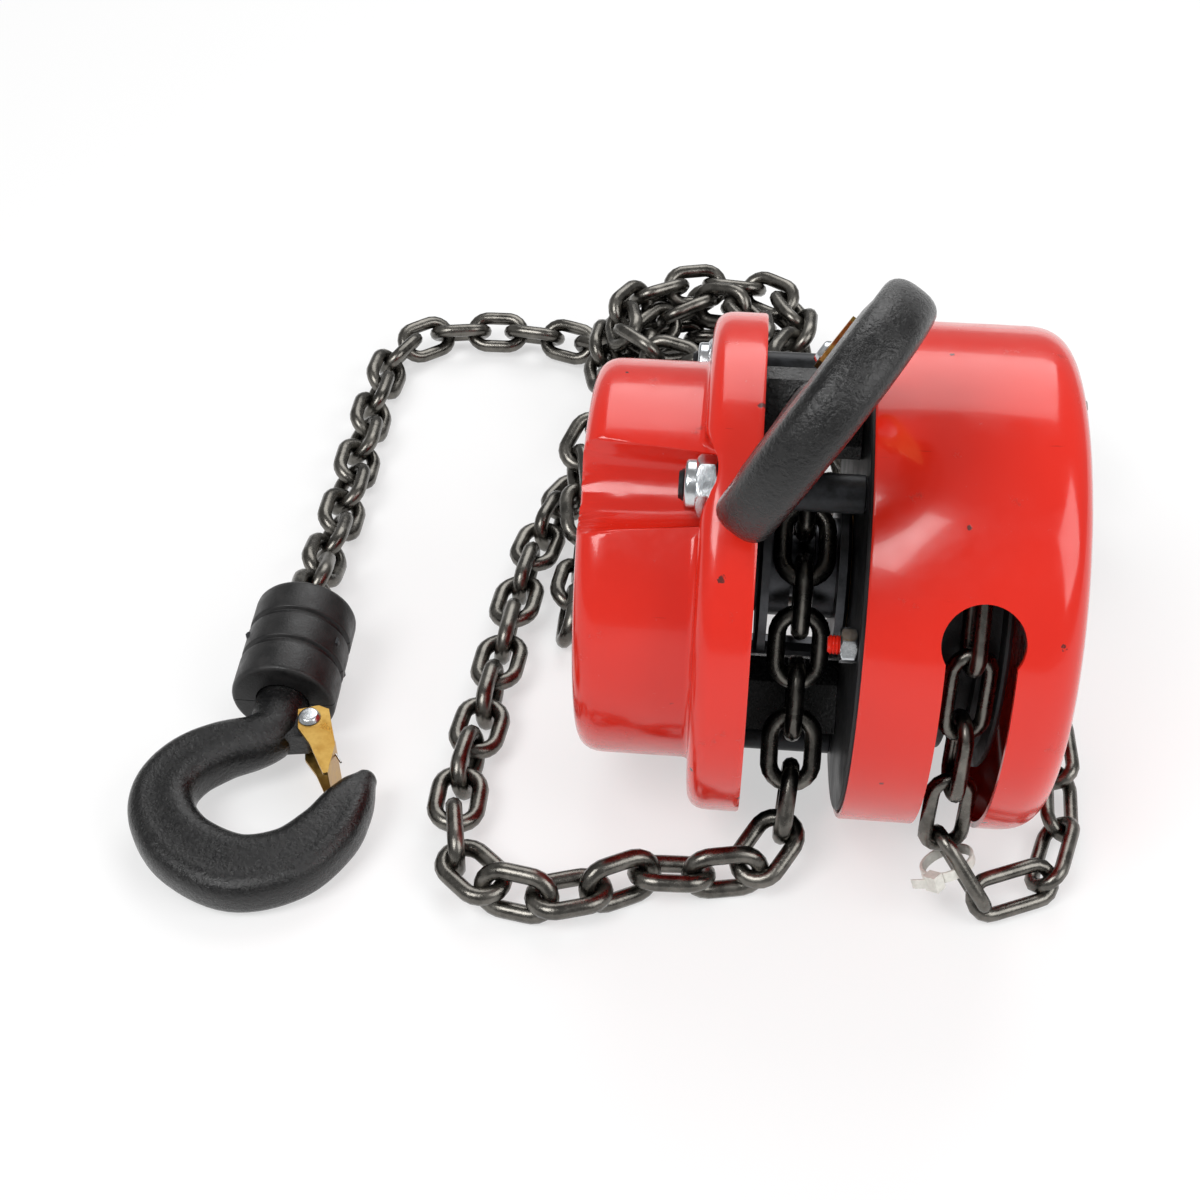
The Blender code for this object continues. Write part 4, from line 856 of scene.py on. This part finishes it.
table_frame = Matrix.Translation(foot)
block_in = table_frame.inverted() @ load_hook_frame @ Vector((0, 0, -32.0))
block_top = table_frame.inverted() @ load_hook_frame @ Vector((0, 0, -52.0))
inward = (block_in - block_top).normalized() * 3.7
lead = [tuple(block_in + inward), tuple(block_top), (-187, 62, 16), (-188, 100, 10), (-189, 150, 10),
        (-190, 200, 10), (-187, 234, 10), (-170, 254, 10), (-142, 258, 10), (-116, 256, 10), (-84, 243, 10)]
heaped = heap(centre=(-42, 205), outer=48, inner=24, turns=1.408, layers=4, start=138.0,
              rise=13.5, first=9.8)
loose_end = [heaped[-1], (-64, 155, 47), (-82, 146, 38), (-90, 128, 30), (-85, 106, 21), (-84, 82, 10),
             (-86, 56, 10), (-84, 30, 10)]
lead = spline(lead, 8) + [np.array(p) for p in heaped[:-1]] + spline(loose_end, 8)
fall_links = strand(lead, LOAD_WIRE, LOAD_PITCH, LOAD_WIDTH, (0, 0, 1), hangs=False)
fall_chain = show("load_chain_fall", fall_links, table_frame, chain_steel, "frame", "load_chain_lead",
                  "load_chain_coil", sharp=80.0)

idle = [(0, 86, 12), (0, 62, 21), (0, 42, 38), (0, 29, 60)]
r_wrap = LOAD_PITCH * TAUT / 2 / math.sin(math.pi / 8) + 0.6
wrap = []
for k in range(7):
    wrap.append(tuple(table_frame.inverted() @ hoist @ Vector((0, *ring_spot(r_wrap, 147 - 30 * k)))))
front = [(0, -33, 62), (0, -44, 40), (0, -54, 23), (-5, -67, 12), (-19, -76, 10), (-42, -75, 10),
         (-64, -86, 10), (-88, -91, 10), (-110, -76, 10), (-114, -44, 10), (-111, -8, 10), (-109, 28, 10),
         (-107, 64, 10), (-103, 97, 10), (-95, 127, 10), (-82, 150, 10)]
run = spline(idle + wrap + front, 8)
run_links = strand(run, LOAD_WIRE, LOAD_PITCH, LOAD_WIDTH, (1, 0, 0), hangs=True)
run_chain = show("load_chain_over_sheave", run_links, table_frame, chain_steel, "frame", "load_chain_run",
                 sharp=80.0)

# Hand chain: lighter long links of the same dark steel, over the hand wheel and out of the cover's slot.
# One end lies along the cover's end, and the slack is heaped behind the hoist.
HAND_WIRE, HAND_PITCH, HAND_WIDTH = 5.0, 25.0, 17.0
r_hand = HAND_PITCH * TAUT / 2 / math.sin(math.pi / 16) + 0.6
over = []
for k in range(11):
    over.append(tuple(table_frame.inverted() @ hoist @ Vector((WHEEL_X, *ring_spot(r_hand, 147 - 18 * k)))))
rise = [(WHEEL_X, 96, 10), (WHEEL_X, 76, 14), (WHEEL_X, 67.5, 32), (WHEEL_X, 66.5, 58)]
fall = [(WHEEL_X, -66.5, 62), (WHEEL_X, -67, 42), (WHEEL_X, -67.5, 25), (56, -72, 12), (68, -77, 8.2),
        (84, -71, 8.2), (94, -46, 8.2), (97, -12, 8.2), (96, 24, 8.2), (93, 58, 8.2)]
heaped = heap(centre=(62, 146.25), outer=54, inner=22, turns=2.2, layers=4, start=257.6,
              rise=13.8, first=8.2)
pull = spline(list(reversed(rise + over + fall)), 8) + [np.array(p) for p in heaped]
hand_links = strand(pull, HAND_WIRE, HAND_PITCH, HAND_WIDTH, (1, 0, 0), hangs=True)
hand_chain = show("hand_chain_loop", hand_links, table_frame, chain_steel, "frame", "hand_chain_run",
                  "hand_chain_coil", sharp=80.0)

# Hand chain tie: a moulded nylon tie drawn round the chain where it reaches the table.
# Natural white nylon, with its square head and cut tail.
TIE_SPOT = (53.6, -70.0, 18.0)
TIE_HALF_W = 1.8
TIE_IN_R, TIE_OUT_R = 8.6, 9.8
TIE_EDGE = 0.3
TIE_SQUASH = 0.86
down_chain = Vector((5.0, -4.5, -13.0)).to_track_quat("X", "Z").to_matrix().to_4x4()
tie_frame = table_frame @ Matrix.Translation(TIE_SPOT) @ down_chain
strip = rounded([(-TIE_HALF_W, TIE_IN_R, TIE_EDGE), (-TIE_HALF_W, TIE_OUT_R, TIE_EDGE),
                 (TIE_HALF_W, TIE_OUT_R, TIE_EDGE), (TIE_HALF_W, TIE_IN_R, TIE_EDGE)], 2)
verts, faces = around(strip, 48)
band = [(x, y, z * TIE_SQUASH) for x, y, z in verts], faces
head = [(x, -9.4 + y, 3.0 + z) for x in (-2.8, 2.8) for y in (-3.2, 0.8) for z in (-2.6, 2.6)]
head_faces = [(0, 1, 3, 2), (4, 6, 7, 5), (0, 4, 5, 1), (2, 3, 7, 6), (0, 2, 6, 4), (1, 5, 7, 3)]
tail_line = ((-10.6, 4.0), (-12.6, 0.5), (-14.4, -3.5))
tail = [(x, y, z + t) for t in (0.0, 1.1) for y, z in tail_line for x in (-1.7, 1.7)]
tail_faces = [(0, 1, 3, 2), (2, 3, 5, 4), (6, 8, 9, 7), (8, 10, 11, 9), (0, 6, 7, 1), (4, 5, 11, 10),
              (0, 2, 8, 6), (2, 4, 10, 8), (1, 7, 9, 3), (3, 9, 11, 5)]
tie_parts = join(band, (head, head_faces), (tail, tail_faces))
tie = show("hand_chain_nylon_tie", tie_parts, tie_frame, nylon, "frame")

low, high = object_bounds()
